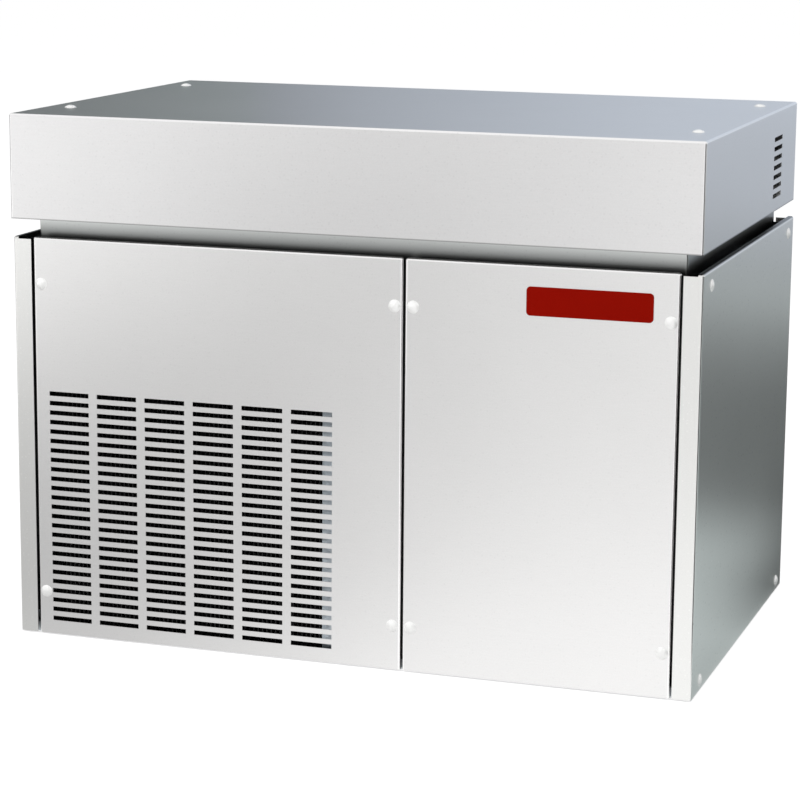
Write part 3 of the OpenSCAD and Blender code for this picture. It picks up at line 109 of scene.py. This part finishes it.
# scattered grains, some darker and some lighter than the sheet
def makeFlecks(look):
    group, start, end = openGroup(
        "flecks",
        [
            ("Coords", "NodeSocketVector", None),
            ("Stretch", "NodeSocketVector", (1.0, 1.0, 1.0)),
            ("Size", "NodeSocketFloat", 190.0),
            ("Depth", "NodeSocketFloat", 0.12),
        ],
        [("Tone", "NodeSocketFloat")],
    )
    mapping = addNode(group, "ShaderNodeMapping")
    plug(group, start.outputs["Coords"], mapping.inputs["Vector"])
    plug(group, start.outputs["Stretch"], mapping.inputs["Scale"])
    cells = addNode(group, "ShaderNodeTexVoronoi")
    plug(group, mapping.outputs["Vector"], cells.inputs["Vector"])
    plug(group, start.outputs["Size"], cells.inputs["Scale"])
    spot = addNode(group, "ShaderNodeMapRange", interpolation_type="SMOOTHSTEP")
    setInputs(spot, From_Min=look["core"], From_Max=look["rim"], To_Min=1.0, To_Max=0.0)
    plug(group, cells.outputs["Distance"], spot.inputs["Value"])
    pick = addNode(group, "ShaderNodeSeparateColor")
    plug(group, cells.outputs["Color"], pick.inputs["Color"])
    rare = mathNode(group, "GREATER_THAN", pick.outputs[0], look["skip"])
    mask = mathNode(group, "MULTIPLY", spot.outputs["Result"], rare)
    swing = spread(group, pick.outputs[1], *look["swing"])
    swing = mathNode(group, "MULTIPLY", swing, start.outputs["Depth"])
    plug(group, mathNode(group, "ADD", 1.0, mathNode(group, "MULTIPLY", mask, swing)), end.inputs["Tone"])
    return group


# painted shade: a sheet darkens toward the inside of a joint or gutter, where shade falls
def makePaintedRecessShade():
    group, start, end = openGroup(
        "paintedRecessShade",
        [
            ("Coords", "NodeSocketVector", None),
            ("Outward", "NodeSocketVector", (0.0, 0.0, 1.0)),
            ("Inside", "NodeSocketFloat", 0.0),
            ("Outside", "NodeSocketFloat", 1.0),
            ("Dark", "NodeSocketFloat", 0.1),
        ],
        [("Tone", "NodeSocketFloat")],
    )
    depth = addNode(group, "ShaderNodeVectorMath", operation="DOT_PRODUCT")
    plug(group, start.outputs["Coords"], depth.inputs[0])
    plug(group, start.outputs["Outward"], depth.inputs[1])
    ramp = addNode(group, "ShaderNodeMapRange", interpolation_type="SMOOTHSTEP")
    plug(group, depth.outputs["Value"], ramp.inputs["Value"])
    plug(group, start.outputs["Inside"], ramp.inputs["From Min"])
    plug(group, start.outputs["Outside"], ramp.inputs["From Max"])
    plug(group, start.outputs["Dark"], ramp.inputs["To Min"])
    plug(group, ramp.outputs["Result"], end.inputs["Tone"])
    return group


bendLook = {"flat": 0.999, "bent": 0.97}  # largest part of the normal


# painted highlight: metal made brighter on the outside of a bend, where the normal leaves the main axes
def makePaintedBendHighlight(look):
    group, start, end = openGroup(
        "paintedBendHighlight",
        [("Gain", "NodeSocketFloat", 0.2)],
        [("Tone", "NodeSocketFloat")],
    )
    facing = addNode(group, "ShaderNodeVectorMath", operation="ABSOLUTE")
    plug(group, addNode(group, "ShaderNodeNewGeometry").outputs["Normal"], facing.inputs[0])
    axes = addNode(group, "ShaderNodeSeparateXYZ")
    plug(group, facing.outputs["Vector"], axes.inputs[0])
    flat = mathNode(group, "MAXIMUM", axes.outputs[1], axes.outputs[2])
    flat = mathNode(group, "MAXIMUM", axes.outputs[0], flat)
    bent = addNode(group, "ShaderNodeMapRange", interpolation_type="SMOOTHSTEP")
    setInputs(bent, From_Min=look["flat"], From_Max=look["bent"], To_Min=0.0, To_Max=1.0)
    plug(group, flat, bent.inputs["Value"])
    lift = mathNode(group, "MULTIPLY", bent.outputs["Result"], start.outputs["Gain"])
    plug(group, mathNode(group, "ADD", 1.0, lift), end.inputs["Tone"])
    return group


smearLook = {"thin": 0.15, "thick": 0.85}


# broad cloudy smears from wiping
def makeSmears(look):
    group, start, end = openGroup(
        "smears",
        [
            ("Coords", "NodeSocketVector", None),
            ("Size", "NodeSocketFloat", 5.0),
            ("Low", "NodeSocketFloat", 0.9),
            ("High", "NodeSocketFloat", 1.1),
        ],
        [("Value", "NodeSocketFloat")],
    )
    clouds = addNode(group, "ShaderNodeTexNoise")
    setInputs(clouds, Detail=5.0, Roughness=0.62)
    plug(group, start.outputs["Coords"], clouds.inputs["Vector"])
    plug(group, start.outputs["Size"], clouds.inputs["Scale"])
    remap = addNode(group, "ShaderNodeMapRange", interpolation_type="SMOOTHERSTEP")
    setInputs(remap, From_Min=look["thin"], From_Max=look["thick"])
    plug(group, clouds.outputs["Fac"], remap.inputs["Value"])
    plug(group, start.outputs["Low"], remap.inputs["To Min"])
    plug(group, start.outputs["High"], remap.inputs["To Max"])
    plug(group, remap.outputs["Result"], end.inputs["Value"])
    return group


flowerLook = {"tones": (0.82, 1.12), "roughness": (0.30, 0.48)}


# crystals of a zinc coat
def makeZincFlowers(look):
    group, start, end = openGroup(
        "zincFlowers",
        [("Coords", "NodeSocketVector", None), ("Size", "NodeSocketFloat", 110.0)],
        [("Tone", "NodeSocketFloat"), ("Rough", "NodeSocketFloat")],
    )
    cells = addNode(group, "ShaderNodeTexVoronoi")
    plug(group, start.outputs["Coords"], cells.inputs["Vector"])
    plug(group, start.outputs["Size"], cells.inputs["Scale"])
    grey = addNode(group, "ShaderNodeSeparateColor")
    plug(group, cells.outputs["Color"], grey.inputs["Color"])
    plug(group, spread(group, grey.outputs[0], *look["tones"]), end.inputs["Tone"])
    plug(group, spread(group, grey.outputs[1], *look["roughness"]), end.inputs["Rough"])
    return group


peelLook = {"tones": (0.9, 1.1)}


# orange peel of paint and moulded plastic
def makePeel(look):
    group, start, end = openGroup(
        "peel",
        [("Coords", "NodeSocketVector", None), ("Size", "NodeSocketFloat", 400.0)],
        [("Height", "NodeSocketFloat"), ("Tone", "NodeSocketFloat")],
    )
    bumps = addNode(group, "ShaderNodeTexNoise")
    setInputs(bumps, Detail=2.0, Roughness=0.5)
    plug(group, start.outputs["Coords"], bumps.inputs["Vector"])
    plug(group, start.outputs["Size"], bumps.inputs["Scale"])
    plug(group, bumps.outputs["Fac"], end.inputs["Height"])
    plug(group, spread(group, bumps.outputs["Fac"], *look["tones"]), end.inputs["Tone"])
    return group


sheetGrain = makeSheetGrain(grainLook)
flecks = makeFlecks(fleckLook)
paintedRecessShade = makePaintedRecessShade()
paintedBendHighlight = makePaintedBendHighlight(bendLook)
smears = makeSmears(smearLook)
zincFlowers = makeZincFlowers(flowerLook)
peel = makePeel(peelLook)
print("node groups ready")


def bareMaterial(name):
    material = bpy.data.materials.new(name)
    material.use_nodes = True
    tree = material.node_tree
    tree.nodes.clear()
    return material, tree, addNode(tree, "ShaderNodeOutputMaterial")


def openMaterial(name):
    material, tree, output = bareMaterial(name)
    shader = addNode(tree, "ShaderNodeBsdfPrincipled")
    plug(tree, shader.outputs["BSDF"], output.inputs["Surface"])
    coords = addNode(tree, "ShaderNodeTexCoord").outputs["Object"]
    return material, tree, shader, coords


def useGroup(tree, group, coords=None, **values):
    node = addNode(tree, "ShaderNodeGroup", node_tree=group)
    if coords is not None:
        plug(tree, coords, node.inputs["Coords"])
    setInputs(node, **values)
    return node


def tint(tree, shader, colour, *tones):
    factor = tones[0]
    for tone in tones[1:]:
        factor = mathNode(tree, "MULTIPLY", factor, tone)
    scale = addNode(tree, "ShaderNodeVectorMath", operation="SCALE")
    scale.inputs[0].default_value = colour
    plug(tree, factor, scale.inputs["Scale"])
    plug(tree, scale.outputs[0], shader.inputs["Base Color"])


def bump(tree, shader, height, strength, distance):
    node = addNode(tree, "ShaderNodeBump")
    setInputs(node, Strength=strength, Distance=distance)
    plug(tree, height, node.inputs["Height"])
    plug(tree, node.outputs["Normal"], shader.inputs["Normal"])


sheetBase = {"cloud": (0.985, 1.015), "haze": (0.97, 1.03), "hazeScale": 1.7, "bumpDepth": 0.0004}
zincBase = {"cloud": (0.94, 1.06), "cloudSize": 7.0}
coatBase = {"cloudSize": 9.0, "bumpDepth": 0.0005}
evenStretch = (1.0, 1.0, 1.0)
faces = {"front": (0.0, -1.0, 0.0), "top": (0.0, 0.0, 1.0), "bottom": (0.0, 0.0, -1.0)}


def cloudy(tree, coords, size, span):
    return useGroup(tree, smears, coords, Size=size, Low=span[0], High=span[1]).outputs["Value"]


# painted shade, dark at the first depth under a face of a node, clear at the second, in metres
def paintedShadeTone(tree, coords, paintedShadeRecess):
    outward = Vector(faces[paintedShadeRecess["face"]])
    level = max(outward.dot(Vector(corner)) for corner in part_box(paintedShadeRecess["node"]))
    inside, outside = (level - depth for depth in paintedShadeRecess["depths"])
    shade = useGroup(tree, paintedRecessShade, coords, Outward=outward, Inside=inside, Outside=outside,
                     Dark=paintedShadeRecess["dark"])
    return shade.outputs["Tone"]


def makeSheetSteel(name, look):
    material, tree, shader, coords = openMaterial(name)
    grain = useGroup(tree, sheetGrain, coords, Stretch=look["stretch"], Speckle=look["speckle"])
    cloud = cloudy(tree, coords, look["smearSize"], sheetBase["cloud"])
    haze = cloudy(tree, coords, look["smearSize"] * sheetBase["hazeScale"], sheetBase["haze"])
    dots = useGroup(tree, flecks, coords, Depth=look["fleckDepth"],
                    Stretch=look.get("fleckStretch", evenStretch))
    tones = [grain.outputs["Tone"], cloud, dots.outputs["Tone"]]
    # painted highlight: bends lighter than the flat sheet
    if "bendHighlightGain" in look:
        tones.append(useGroup(tree, paintedBendHighlight, Gain=look["bendHighlightGain"]).outputs["Tone"])
    # painted shade: darker toward a joint, gutter or edge
    if "paintedShadeRecess" in look:
        tones.append(paintedShadeTone(tree, coords, look["paintedShadeRecess"]))
    shader.inputs["Metallic"].default_value = look.get("metallic", 1.0)
    tint(tree, shader, look["colour"], *tones)
    plug(tree, mathNode(tree, "MULTIPLY", haze, look["roughness"]), shader.inputs["Roughness"])
    bump(tree, shader, grain.outputs["Height"], look["bump"], sheetBase["bumpDepth"])
    return material


def makeZinc(name, look):
    material, tree, shader, coords = openMaterial(name)
    flowers = useGroup(tree, zincFlowers, coords, Size=look["flowerSize"])
    cloud = cloudy(tree, coords, zincBase["cloudSize"], zincBase["cloud"])
    shader.inputs["Metallic"].default_value = 1.0
    tint(tree, shader, look["colour"], flowers.outputs["Tone"], cloud)
    plug(tree, flowers.outputs["Rough"], shader.inputs["Roughness"])
    return material


def makeCoat(name, look):
    material, tree, shader, coords = openMaterial(name)
    skin = useGroup(tree, peel, coords, Size=look["peelSize"])
    cloud = cloudy(tree, coords, coatBase["cloudSize"], (1.0 - look["wear"], 1.0 + look["wear"]))
    shader.inputs["Metallic"].default_value = look.get("metallic", 0.0)
    shader.inputs["IOR"].default_value = look.get("ior", 1.5)
    tint(tree, shader, look["colour"], skin.outputs["Tone"], cloud)
    plug(tree, mathNode(tree, "MULTIPLY", cloud, look["roughness"]), shader.inputs["Roughness"])
    bump(tree, shader, skin.outputs["Height"], look["bump"], coatBase["bumpDepth"])
    return material


steelLooks = {
    "frontSteel": {
        "colour": (0.785, 0.78, 0.775), "stretch": (0.06, 1.0, 1.0), "speckle": 0.65, "smearSize": 3.0,
        "roughness": 0.292, "bump": 0.06, "bendHighlightGain": 0.22, "fleckDepth": 0.16,
        # painted shade: the front sheets darken on their folds inside the panel joints
        "paintedShadeRecess": {"node": "grille_panel", "face": "front", "depths": (0.0040, 0.0024), "dark": 0.03},
    },
    "sideSteel": {
        "colour": (0.78, 0.78, 0.765), "stretch": (1.0, 0.06, 1.0), "speckle": 0.65, "smearSize": 3.0,
        "roughness": 0.292, "bump": 0.06, "fleckDepth": 0.17, "fleckStretch": (1.0, 0.5, 1.0),
        # painted shade: the side sheet darkens at its top edge and fold
        "paintedShadeRecess": {"node": "right_side_panel", "face": "top", "depths": (0.0, 0.0020), "dark": 0.15},
    },
    "backSteel": {
        "colour": (0.80, 0.79, 0.785), "stretch": (0.06, 1.0, 1.0), "speckle": 0.65, "smearSize": 3.0,
        "roughness": 0.292, "bump": 0.06, "bendHighlightGain": 0.22, "fleckDepth": 0.10,
    },
    "lidSteel": {
        "colour": (0.75, 0.745, 0.745), "stretch": (0.06, 1.0, 1.0), "speckle": 0.6, "smearSize": 2.5,
        "roughness": 0.292, "bump": 0.06, "bendHighlightGain": 0.22, "fleckDepth": 0.07,
        # painted shade: the lid darkens at its bottom edge
        "paintedShadeRecess": {"node": "top_lid", "face": "bottom", "depths": (0.0, 0.0022), "dark": 0.40},
    },
    # collar steel: its colour is darker than the panels' steel as painted shade under the lid, and it
    # darkens toward its foot as painted shade in the gutter
    "collarSteel": {
        "colour": (0.66, 0.68, 0.67), "stretch": (0.06, 0.06, 1.0), "speckle": 0.3, "smearSize": 6.0,
        "roughness": 0.30, "bump": 0.08, "fleckDepth": 0.12,
        "paintedShadeRecess": {"node": "collar_frame", "face": "top", "depths": (0.035, 0.0), "dark": 0.09},
    },
    "turnedSteel": {
        "colour": (0.72, 0.72, 0.71), "stretch": (1.0, 0.04, 0.04), "speckle": 0.2, "smearSize": 8.0,
        "roughness": 0.22, "bump": 0.1, "fleckDepth": 0.05,
    },
    "screwSteel": {
        "colour": (0.97, 0.97, 0.96), "stretch": (1.0, 1.0, 1.0), "speckle": 0.9, "smearSize": 40.0,
        "roughness": 0.42, "bump": 0.02, "fleckDepth": 0.03, "metallic": 0.35,
    },
}
zincLooks = {
    "zincSheet": {"colour": (0.56, 0.59, 0.61), "flowerSize": 110.0},
    "paleZinc": {"colour": (0.62, 0.68, 0.73), "flowerSize": 140.0},
}
coatLooks = {
    "redPlate": {
        "colour": (0.292, 0.0056, 0.0021), "ior": 1.02,
        "peelSize": 500.0, "wear": 0.03, "roughness": 0.50, "bump": 0.05,
    },
    # black enamel of the compressor and its parts, also painted shade on the frame posts and condenser coil
    "blackEnamelAndPaintedShade": {
        "colour": (0.014, 0.014, 0.016),
        "peelSize": 350.0, "wear": 0.12, "roughness": 0.34, "bump": 0.2,
    },
    "motorPaint": {
        "colour": (0.085, 0.092, 0.10),
        "peelSize": 420.0, "wear": 0.10, "roughness": 0.45, "bump": 0.25,
    },
    "copperPipe": {
        "colour": (0.62, 0.27, 0.14), "metallic": 1.0,
        "peelSize": 150.0, "wear": 0.12, "roughness": 0.33, "bump": 0.08,
    },
    "brassBody": {
        "colour": (0.62, 0.46, 0.19), "metallic": 1.0,
        "peelSize": 300.0, "wear": 0.10, "roughness": 0.32, "bump": 0.1,
    },
    "whitePlastic": {
        "colour": (0.78, 0.78, 0.75),
        "peelSize": 700.0, "wear": 0.03, "roughness": 0.42, "bump": 0.08,
    },
    "greyHose": {
        "colour": (0.36, 0.39, 0.41),
        "peelSize": 240.0, "wear": 0.08, "roughness": 0.50, "bump": 0.1,
    },
    "floatBlue": {
        "colour": (0.04, 0.15, 0.36),
        "peelSize": 600.0, "wear": 0.05, "roughness": 0.30, "bump": 0.06,
    },
    "blackPlastic": {
        "colour": (0.018, 0.018, 0.02),
        "peelSize": 800.0, "wear": 0.08, "roughness": 0.48, "bump": 0.15,
    },
    "softRubber": {
        "colour": (0.03, 0.03, 0.03),
        "peelSize": 900.0, "wear": 0.10, "roughness": 0.72, "bump": 0.2,
    },
}
finishes = {name: makeSheetSteel(name, look) for name, look in steelLooks.items()}
finishes.update({name: makeZinc(name, look) for name, look in zincLooks.items()})
finishes.update({name: makeCoat(name, look) for name, look in coatLooks.items()})
print("finishes ready:", len(finishes))

wearsFinish = {
    "frontSteel": ["grille_panel", "front_right_panel"],
    "backSteel": ["back_panel"],
    "sideSteel": ["left_side_panel", "right_side_panel"],
    "lidSteel": ["top_lid"],
    "collarSteel": ["collar_frame"],
    "turnedSteel": ["drum", "scraper_bar", "scraper_blade", "left_bearing", "right_bearing"],
    "screwSteel": ["panel_screws"],
    "zincSheet": [
        "base_tray", "mid_deck", "lid_posts", "condenser_left_plate", "fan_shroud", "fan_bracket",
        "motor_stand", "control_box", "control_cover",
    ],
    "paleZinc": ["condenser_right_plate"],
    "redPlate": ["front_badge"],
    # the frame posts behind the panel joints and the condenser coil behind the slots wear black as painted
    # shade; the compressor, its plate and the receiver wear real black enamel
    "blackEnamelAndPaintedShade": [
        "front_left_post", "front_right_post", "back_left_post", "back_right_post", "centre_post",
        "condenser_coil", "compressor", "compressor_plate", "liquid_receiver",
    ],
    "motorPaint": ["fan_motor", "gearbox", "gear_motor"],
    "copperPipe": [
        "filter_drier", "discharge_line", "condenser_line", "liquid_line", "valve_line", "suction_line",
    ],
    "brassBody": ["expansion_valve", "rotary_joint", "water_inlet"],
    "whitePlastic": [
        "water_pan", "drum_cover", "ice_chute", "float_tank", "tank_lid", "float_valve", "contactor",
    ],
    "greyHose": ["feed_hose", "inlet_hose", "drain_pipe"],
    "floatBlue": ["float_arm"],
    "blackPlastic": ["fan_rotor", "terminal_cover", "cable_gland"],
    "softRubber": ["compressor_grommets"],
}


def dressNodes():
    dressed = 0
    for finish, nodes in wearsFinish.items():
        for name in nodes:
            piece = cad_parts[name]
            piece.data.materials.clear()
            piece.data.materials.append(finishes[finish])
            dressed += 1
    print("dressed nodes:", dressed)


dressNodes()


# floor, sky and reflector cards

def layFlat(name, corners, material):
    mesh = bpy.data.meshes.new(name)
    mesh.from_pydata(corners, [], [tuple(range(len(corners)))])
    mesh.materials.append(material)
    sheet = bpy.data.objects.new(name, mesh)
    scene.collection.objects.link(sheet)
    return sheet


def fillRamp(ramp, stops, low, high):
    while len(ramp.elements) > len(stops):
        ramp.elements.remove(ramp.elements[-1])
    while len(ramp.elements) < len(stops):
        ramp.elements.new(0.5)
    for element, (place, level) in zip(ramp.elements, stops):
        element.position = (place - low) / (high - low)
        element.color = (level, level, level, 1.0)


# levels run along one axis in metres, where 1 is white
cards = {
    "frontCard": {
        "low": (-5.0, -4.2, 0.0008), "high": (0.6, -0.2985, 0.0008), "along": "X", "away": "Y",
        "levels": [(-1.4, 0.55), (-0.57, 0.60), (-0.30, 0.74), (0.10, 1.12), (0.32, 1.18)],
        "farLevels": [(-2.3, 1.98), (-1.8, 1.55), (-1.35, 0.82), (-1.0, 0.48), (-0.3, 0.92)],
        "blend": [(-3.2, 1.0), (-1.6, 0.6), (-0.6, 0.0)],
    },
    "cornerStrip": {
        "low": (0.6, -0.2985, 0.0006), "high": (3.6, -4.9, 0.0006), "fan": (6.0, 0.0, 33.0), "along": "X",
        "levels": [(0.6, 1.15)],
    },
    "cornerFan": {
        "low": (0.452, -0.2985, 0.0007), "high": (6.4, -5.2, 0.0007), "fan": (6.0, 33.0, 89.5), "along": "X",
        "levels": [(0.6, 0.05)],
    },
    "cornerWall": {
        "low": (2.1, -2.95, 0.0), "high": (4.0, -0.36, 1.1), "along": "X",
        "levels": [(2.1, 0.03)],
    },
    "leftWall": {
        "low": (-4.2, -1.2, 0.0), "high": (-4.2, 4.5, 1.3), "along": "Y",
        "levels": [(-1.2, 0.35), (0.0, 0.04)],
    },
    "lidCard": {
        "low": (-7.0, -14.0, 0.0008), "high": (0.6, -4.2, 0.0008), "along": "X",
        "levels": [(-3.2, 1.42), (-2.55, 1.18), (-2.05, 0.32), (-1.6, 0.03), (-1.0, 1.30), (-0.6, 1.6)],
    },
    "sideCard": {
        "low": (0.4515, -0.2985, 0.0008), "high": (7.0, 3.4, 0.0008), "along": "Y", "away": "X",
        "tint": (0.90, 1.0, 1.0),
        "levels": [(0.0, 0.50), (0.163, 0.30), (0.28, 0.15), (0.60, 0.02)],
        "farLevels": [
            (0.20, 0.70), (0.45, 0.62), (0.80, 0.14), (1.65, 0.12), (2.4, 0.24), (2.8, 0.53), (3.3, 0.38),
        ],
        "blend": [(0.48, 0.0), (0.634, 1.0)],
    },
    "lidSideCard": {
        "low": (0.4515, 3.4, 0.0008), "high": (7.0, 9.0, 0.0008), "along": "Y", "tint": (0.92, 1.0, 1.12),
        "levels": [(3.4, 0.35), (4.8, 0.63), (6.1, 0.57)],
    },
    "topCard": {
        "low": (-1.5, 3.2, 0.4), "high": (2.0, 3.2, 4.0), "along": "X", "tint": (0.905, 1.0, 1.14),
        "levels": [(-1.5, 0.27), (-1.2, 0.42), (-0.4, 0.63), (0.2, 0.67)],
    },
    "topLeftCard": {
        "low": (-5.0, 3.2, 0.4), "high": (-1.5, 3.2, 4.0), "along": "X", "tint": (0.86, 1.0, 1.02),
        "levels": [(-2.1, 0.155), (-1.6, 0.24), (-1.5, 0.27)],
    },
}


# three corners of a flat fan on the floor, its angles counted from -Y toward +X
def fanCorners(tip, reach, first, last):
    ends = [(tip[0] + reach * math.sin(math.radians(a)), tip[1] - reach * math.cos(math.radians(a)), tip[2])
            for a in (first, last)]
    return [tip, *ends]


# a fan or a sheet that lies on the floor, or else a standing wall
def cardCorners(look):
    (x0, y0, z0), (x1, y1, z1) = look["low"], look["high"]
    if "fan" in look:
        return fanCorners(look["low"], *look["fan"])
    if z0 == z1:
        return [(x0, y0, z0), (x1, y0, z0), (x1, y1, z0), (x0, y1, z0)]
    return [(x0, y0, z0), (x1, y1, z0), (x1, y1, z1), (x0, y0, z1)]


# levels run along one axis and may change along another
def makeCardGlow(name, look):
    material, tree, output = bareMaterial(name)
    glow = addNode(tree, "ShaderNodeEmission")
    glow.inputs["Color"].default_value = (*look.get("tint", (1.0, 1.0, 1.0)), 1.0)
    axes = addNode(tree, "ShaderNodeSeparateXYZ")
    plug(tree, addNode(tree, "ShaderNodeTexCoord").outputs["Generated"], axes.inputs[0])

    def levelAlong(axis, stops):
        index = "XYZ".index(axis)
        ramp = addNode(tree, "ShaderNodeValToRGB")
        fillRamp(ramp.color_ramp, stops, look["low"][index], look["high"][index])
        plug(tree, axes.outputs[index], ramp.inputs["Fac"])
        return ramp.outputs["Color"]

    level = levelAlong(look["along"], look["levels"])
    if "farLevels" in look:
        mix = addNode(tree, "ShaderNodeMix", data_type="FLOAT")
        plug(tree, levelAlong(look["away"], look["blend"]), mix.inputs["Factor"])
        plug(tree, level, mix.inputs["A"])
        plug(tree, levelAlong(look["along"], look["farLevels"]), mix.inputs["B"])
        level = mix.outputs["Result"]
    plug(tree, level, glow.inputs["Strength"])
    plug(tree, glow.outputs[0], output.inputs["Surface"])
    return material


# flat card that only reflections see
def makeCard(name, look):
    card = layFlat(name, cardCorners(look), makeCardGlow(name, look))
    card.visible_camera = False
    card.visible_diffuse = False
    card.visible_shadow = False
    card.visible_transmission = False


# rays that meet the room itself, straight or mirrored or through glass
def seenRay(tree):
    path = addNode(tree, "ShaderNodeLightPath")
    mask = mathNode(tree, "MAXIMUM", path.outputs["Is Camera Ray"], path.outputs["Is Glossy Ray"])
    return mathNode(tree, "MAXIMUM", mask, path.outputs["Is Transmission Ray"])


floorLook = {"half": 30.0, "colour": (0.64, 0.64, 0.64), "glow": 0.63, "mirrored": 1.0}


def makeFloor(look):
    material, tree, output = bareMaterial("paleFloor")
    paper = addNode(tree, "ShaderNodeBsdfDiffuse")
    paper.inputs["Color"].default_value = (*look["colour"], 1.0)
    glow = addNode(tree, "ShaderNodeEmission")
    both = addNode(tree, "ShaderNodeAddShader")
    plug(tree, mathNode(tree, "MULTIPLY", seenRay(tree), look["glow"]), glow.inputs["Strength"])
    plug(tree, paper.outputs[0], both.inputs[0])
    plug(tree, glow.outputs[0], both.inputs[1])
    plain = addNode(tree, "ShaderNodeEmission")  # what metal shows of the floor
    plain.inputs["Strength"].default_value = look["mirrored"]
    choice = addNode(tree, "ShaderNodeMixShader")
    plug(tree, addNode(tree, "ShaderNodeLightPath").outputs["Is Glossy Ray"], choice.inputs["Fac"])
    plug(tree, both.outputs[0], choice.inputs[1])
    plug(tree, plain.outputs[0], choice.inputs[2])
    plug(tree, choice.outputs[0], output.inputs["Surface"])
    h = look["half"]
    floor = layFlat("floor", [(-h, -h, 0), (h, -h, 0), (h, h, 0), (-h, h, 0)], material)


worldLook = {"colour": (1.0, 1.0, 1.0), "fill": 0.576, "white": 1.0}


def makeWorld(look):
    world = bpy.data.worlds.new("paleRoom")
    world.use_nodes = True
    tree = world.node_tree
    tree.nodes.clear()
    output = addNode(tree, "ShaderNodeOutputWorld")
    sky = addNode(tree, "ShaderNodeBackground")
    sky.inputs["Color"].default_value = (*look["colour"], 1.0)
    plug(tree, spread(tree, seenRay(tree), look["fill"], look["white"]), sky.inputs["Strength"])
    plug(tree, sky.outputs[0], output.inputs["Surface"])
    scene.world = world


makeFloor(floorLook)
makeWorld(worldLook)
for name, look in cards.items():
    makeCard(name, look)

lampAim = (0.0, 0.0, 0.35)
lamps = {
    "keyLamp": {"place": (-2.4, -3.4, 2.8), "size": (2.6, 2.0), "watts": 85.0},
    "rimLamp": {"place": (2.6, -1.4, 2.6), "size": (1.6, 1.6), "watts": 20.0},
}


def makeLamp(name, look):
    data = bpy.data.lights.new(name, "AREA")
    data.shape = "RECTANGLE"
    data.size, data.size_y = look["size"]
    data.energy = look["watts"]
    lamp = bpy.data.objects.new(name, data)
    lamp.location = look["place"]
    aim = Vector(lampAim) - Vector(look["place"])
    lamp.rotation_euler = aim.to_track_quat("-Z", "Y").to_euler()
    lamp.visible_glossy = False
    scene.collection.objects.link(lamp)


for name, look in lamps.items():
    makeLamp(name, look)
print("room ready")


# camera, turned to the view's yaw, pitch and roll
cameraLook = {
    "place": (1.0974, -3.3614, 0.9945), "yaw": -18.469, "pitch": 11.309, "roll": 0.481,
    "lens": 120.21, "sensor": 36.0,
}


def makeCamera(look):
    yaw, pitch, roll = (math.radians(look[key]) for key in ("yaw", "pitch", "roll"))
    ahead = Vector((math.sin(yaw) * math.cos(pitch), math.cos(yaw) * math.cos(pitch), -math.sin(pitch)))
    level = Vector((math.cos(yaw), -math.sin(yaw), 0.0))
    upright = level.cross(ahead)
    right = level * math.cos(roll) + upright * math.sin(roll)
    up = upright * math.cos(roll) - level * math.sin(roll)
    data = bpy.data.cameras.new("viewCamera")
    data.sensor_width = look["sensor"]
    data.lens = look["lens"]
    camera = bpy.data.objects.new("viewCamera", data)
    turn = Matrix((right, up, -ahead)).transposed().to_4x4()
    camera.matrix_world = Matrix.Translation(Vector(look["place"])) @ turn
    scene.collection.objects.link(camera)
    scene.camera = camera


makeCamera(cameraLook)
print("camera ready")
